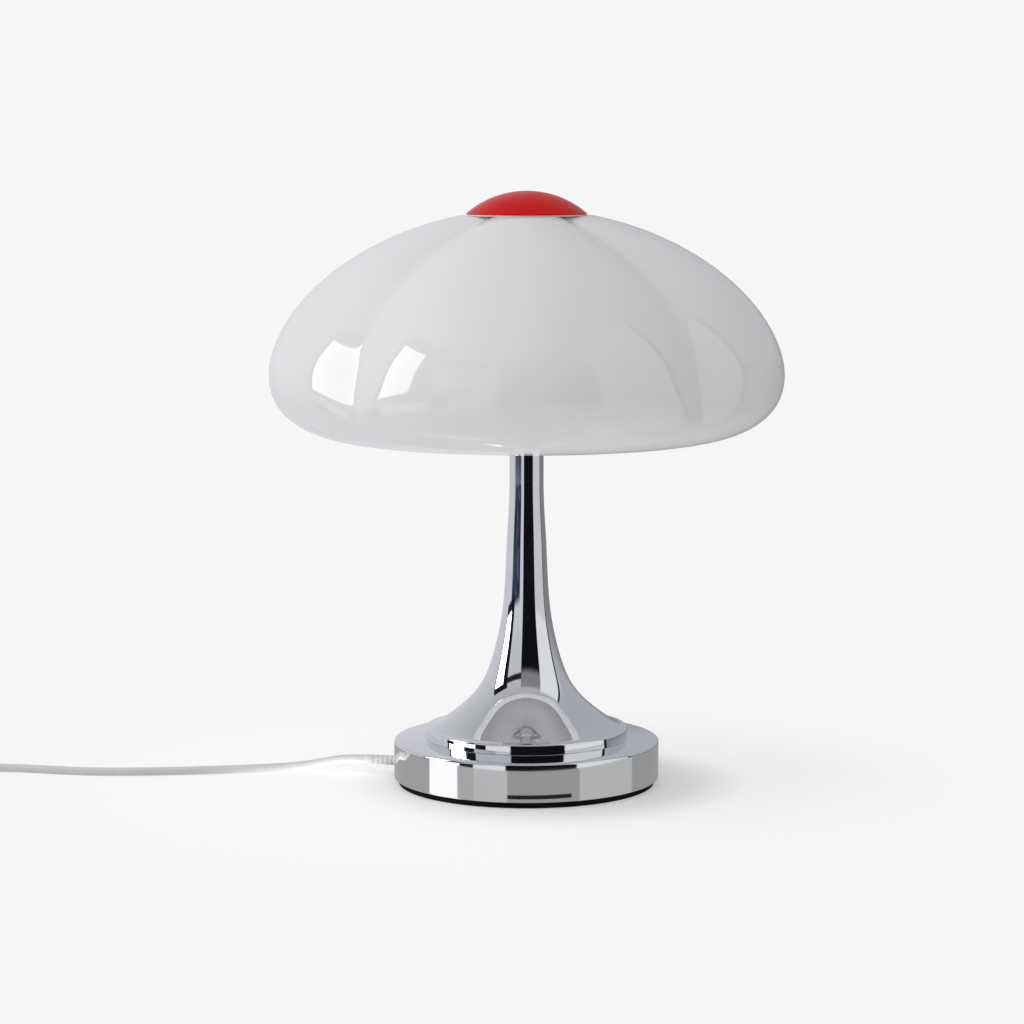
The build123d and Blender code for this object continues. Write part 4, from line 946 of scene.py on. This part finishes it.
@dataclass
class Studio:
    """Pale floor, pale surroundings, soft light and the camera, in metres.

    Polished pieces show another floor and another room than the camera does. The floor they show carries
    painted light
    and shade: lit and shaded stripes, and a painted shadow ring by the base's front. The floor's stripes are
    set out from the camera's place, so that their edges stand upright on the base's wall in that view alone.
    """

    backdrop: float = 0.9216
    ambient: tuple[float, float] = (0.72, 0.47)
    floor_colour: float = 0.64
    floor_glow: float = 0.48
    bounce: tuple[float, float] = (2.2, 0.58)
    floor_radius: float = 2.4
    shadow_reach: tuple[float, float] = (0.11, 0.31)
    # painted shadow on the floor round the base: where it fades out, how far its middle is moved, and the
    # floor's glow inside it
    painted_shadow_reach: tuple[float, float] = (0.076, 0.125)
    painted_shadow_shift: Point = (-0.013, 0.004, 0.0)
    painted_shadow_glow: float = 0.32
    ambient_sides: tuple[float, float] = (-1.0, 0.9)
    floor_grain: float = 300.0
    floor_variation: float = 0.004
    bounce_reach: tuple[float, float] = (0.10, 0.21)
    # bounce light under the base's edge, dimmed as a painted shade, and the radii over which it rises back
    bounce_under_base: float = 0.1
    bounce_under_base_reach: tuple[float, float] = (0.080, 0.105)
    # a painted shadow ring on the floor that only polished pieces show, by the base's front: from, to and
    # softness, the turns on the wall between which it lies, and its colour
    painted_shadow_ring: tuple[float, float, float] = (0.105, 0.116, 0.001)
    painted_shadow_ring_turns: tuple[float, float] = (-8.3, 19.0)
    painted_shadow_ring_colour: float = 0.02
    line_softness: float = 0.0015
    side_softness: float = 0.002
    mirror_reach: tuple[float, float] = (0.1840, 0.1855)
    wall_radius: float = 0.078
    wall_end: float = 0.42
    eye: Point = (-0.0085, -1.7966, 0.3776)
    pitch: float = 83.11
    lens: float = 108.63
    sensor: float = 36.0
    sight: float = 50.0

    def place_camera(self) -> None:
        """Put the camera where the photograph was taken from."""
        data = bpy.data.cameras.new("camera")
        data.lens = self.lens
        data.sensor_width = self.sensor
        data.clip_end = self.sight
        camera = bpy.data.objects.new("camera", data)
        camera.location = self.eye
        camera.rotation_euler = (math.radians(self.pitch), 0.0, 0.0)
        bpy.context.scene.collection.objects.link(camera)
        bpy.context.scene.camera = camera

    def past_line(self, sheet: NodeSheet, parts: object, turn: float) -> bpy.types.NodeSocket:
        """Find the floor that the base's wall shows to the right of one upright line on it.

        Args:
            sheet: the nodes of the floor.
            parts: the outputs with the place on the floor.
            turn: where the line is on the wall, in degrees round from its front.

        Returns:
            The output with the share, 1 to the right of the line.
        """
        angle = math.radians(turn)
        x, y = self.wall_radius * math.sin(angle), -self.wall_radius * math.cos(angle)
        way = 2 * angle + math.atan2(x - self.eye[0], y - self.eye[1])
        across = sheet.math("ADD", sheet.math("MULTIPLY", parts["X"], math.cos(way)),
                            sheet.math("MULTIPLY", parts["Y"], math.sin(way)))
        line = self.wall_radius * math.sin(angle - way)
        right = sheet.ramp(parts["X"], -self.side_softness, self.side_softness)
        past = sheet.ramp(across, line - self.line_softness, line + self.line_softness)
        return sheet.math("MAXIMUM" if turn < 0 else "MULTIPLY", past, right)

    def lay_floor(self) -> None:
        """Lay a pale floor that takes the lamp's shadow, with a painted shadow round the base, and goes over
        into the backdrop further out.
        """
        bpy.ops.object.select_all(action="DESELECT")
        bpy.ops.mesh.primitive_circle_add(vertices=128, radius=self.floor_radius, fill_type="NGON")
        floor = bpy.context.object
        floor.name = "floor"
        made = bpy.data.materials.new("floor")
        made.use_nodes = True
        made.node_tree.nodes.remove(made.node_tree.nodes["Principled BSDF"])
        sheet = NodeSheet(made.node_tree)
        place = sheet.add("ShaderNodeTexCoord").outputs["Object"]
        radius = sheet.add("ShaderNodeVectorMath", Vector=place)
        radius.operation = "LENGTH"
        out = radius.outputs["Value"]
        grain = sheet.add("ShaderNodeTexNoise", Vector=place, Scale=self.floor_grain, Detail=2.0).outputs[0]
        darker = self.floor_colour - self.floor_variation
        lighter = self.floor_colour + self.floor_variation
        colour = sheet.blend(grain, (darker,) * 3, (lighter,) * 3)
        lit = sheet.add("ShaderNodeAddShader")
        sheet.feed(lit.inputs[0], sheet.add("ShaderNodeBsdfDiffuse", Color=colour).outputs[0])
        # painted shadow: the floor's glow falls from its even level to a lower one round the base, centred a
        # little to the right of its middle
        shifted = sheet.add("ShaderNodeMapping", Vector=place, Location=self.painted_shadow_shift).outputs[0]
        painted_shadow_distance = sheet.add("ShaderNodeVectorMath", Vector=shifted)
        painted_shadow_distance.operation = "LENGTH"
        even = sheet.blend(sheet.ramp(painted_shadow_distance.outputs["Value"], *self.painted_shadow_reach), (self.painted_shadow_glow,) * 3,
                           (self.floor_glow,) * 3)
        sheet.feed(lit.inputs[1], sheet.add("ShaderNodeEmission", Color=even, Strength=1.0).outputs[0])
        glow = sheet.add("ShaderNodeEmission", Color=(self.backdrop,) * 3 + (1.0,), Strength=1.0).outputs[0]
        seen = sheet.mix_shaders(sheet.ramp(out, *self.shadow_reach), lit.outputs[0], glow)
        path = sheet.add("ShaderNodeLightPath")
        parts = sheet.add("ShaderNodeSeparateXYZ", Vector=place).outputs
        # glossy rays see painted light and shade: stripes of lit and shaded floor, and a painted shadow ring by
        # the base's front, for the base's chrome wall to reflect
        shine = (self.wall_end,) * 3
        for turn, stripe in PAINTED_FLOOR_STRIPES:
            shine = sheet.blend(self.past_line(sheet, parts, turn), shine, (stripe,) * 3)
        start, end = (self.past_line(sheet, parts, turn) for turn in self.painted_shadow_ring_turns)
        ring = sheet.math("MULTIPLY", sheet.math("SUBTRACT", start, end), sheet.band(out, *self.painted_shadow_ring))
        shine = sheet.blend(ring, shine, (self.painted_shadow_ring_colour,) * 3)
        reflected = sheet.add("ShaderNodeEmission", Color=shine, Strength=1.0).outputs[0]
        seen = sheet.mix_shaders(path.outputs["Is Glossy Ray"], seen, reflected)
        # the floor gives off bounce light to diffuse rays, brighter than white near the base and weaker further
        # out; under the base's edge it is dimmed, a painted shade
        near, far = self.bounce
        cast = sheet.blend(sheet.ramp(out, *self.bounce_reach), (near,) * 3, (far,) * 3)
        cast = sheet.blend(sheet.ramp(out, *self.bounce_under_base_reach), (self.bounce_under_base,) * 3, cast)
        bounced = sheet.add("ShaderNodeEmission", Color=cast, Strength=1.0).outputs[0]
        seen = sheet.mix_shaders(path.outputs["Is Diffuse Ray"], seen, bounced)
        away = sheet.math("MULTIPLY", path.outputs["Is Glossy Ray"], sheet.ramp(out, *self.mirror_reach))
        clear = sheet.add("ShaderNodeBsdfTransparent").outputs[0]
        surface = sheet.mix_shaders(away, seen, clear)
        sheet.feed(made.node_tree.nodes["Material Output"].inputs["Surface"], surface)
        floor.data.materials.append(made)

    def paint_surroundings(self) -> None:
        """Give the world its even light, its pale backdrop, and the room that polished pieces reflect."""
        world = bpy.data.worlds.new("surroundings")
        world.use_nodes = True
        bpy.context.scene.world = world
        sheet = NodeSheet(world.node_tree)
        way = sheet.add("ShaderNodeTexCoord").outputs["Generated"]
        parts = sheet.add("ShaderNodeSeparateXYZ", Vector=way).outputs
        front = sheet.math("MULTIPLY", parts["Y"], -1.0)
        bearing = sheet.math("DEGREES", sheet.math("ARCTAN2", parts["X"], front))
        rise = sheet.math("DEGREES", sheet.math("ARCSINE", parts["Z"]))
        mottle = sheet.add("ShaderNodeTexNoise", Vector=way, Scale=18.0, Detail=5.0).outputs[0]
        low = sheet.blend(sheet.ramp(bearing, *WALL_BEARING), *WALLS)
        high = sheet.blend(sheet.ramp(rise, *CEILING_RISE), *CEILING)
        room = sheet.blend(sheet.ramp(rise, *WALLS_TO_CEILING), low, high)
        left = sheet.math("MULTIPLY", sheet.band(bearing, *BLUE_BEARING), sheet.band(rise, *BLUE_RISE))
        blue = sheet.blend(sheet.ramp(mottle, *BLUE_MOTTLE), *BLUE)
        room = sheet.blend(left, room, blue)
        for patch in ROOM:
            inside = sheet.math("MULTIPLY", sheet.band(bearing, *patch.bearing), sheet.band(rise, *patch.rise))
            room = sheet.blend(inside, room, patch.colour)
        mirrored = sheet.add("ShaderNodeBackground", Color=room, Strength=1.0).outputs[0]
        bright, dim = self.ambient
        side = sheet.blend(sheet.ramp(parts["X"], *self.ambient_sides), (bright,) * 3, (dim,) * 3)
        even = sheet.add("ShaderNodeBackground", Color=side, Strength=1.0).outputs[0]
        pale = sheet.add("ShaderNodeBackground", Color=(self.backdrop,) * 3 + (1.0,), Strength=1.0).outputs[0]
        path = sheet.add("ShaderNodeLightPath")
        unseen = sheet.mix_shaders(path.outputs["Is Glossy Ray"], even, mirrored)
        clear = sheet.math("MAXIMUM", path.outputs["Is Camera Ray"], path.outputs["Is Transmission Ray"])
        shown = sheet.mix_shaders(clear, unseen, pale)
        sheet.feed(world.node_tree.nodes["World Output"].inputs["Surface"], shown)

    def hang_light(self, soft: SoftLight) -> None:
        """Hang one flat light.

        Args:
            soft: its place, size and brightness.
        """
        data = bpy.data.lights.new(soft.name, "AREA")
        data.shape = "RECTANGLE"
        data.size, data.size_y = soft.size
        data.energy = soft.radiance * math.pi * soft.size[0] * soft.size[1]
        light = bpy.data.objects.new(soft.name, data)
        light.location = soft.place
        aim = Vector(soft.target) - Vector(soft.place)
        light.rotation_euler = aim.to_track_quat("-Z", "Y").to_euler()
        light.visible_glossy = False
        light.visible_camera = False
        bpy.context.scene.collection.objects.link(light)

    def build(self) -> None:
        """Set up the whole studio."""
        self.place_camera()
        self.lay_floor()
        self.paint_surroundings()
        for soft in LIGHTS:
            self.hang_light(soft)
        bpy.context.scene.view_settings.view_transform = "Standard"


# ---------------------------------------------------------------- the whole lamp
def main() -> None:
    """Build the studio and the lamp's pieces in order."""
    logging.basicConfig(level=logging.INFO, format="%(name)s: %(message)s")
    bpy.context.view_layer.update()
    groups = (Studio(), MainsCord(), FramePieces(), Base(), Column(), GlassShade(), RedCap(), CordBushing())
    for group in groups:
        group.build()
        LOG.info("%s is built", type(group).__name__)


if __name__ == "__main__":
    main()
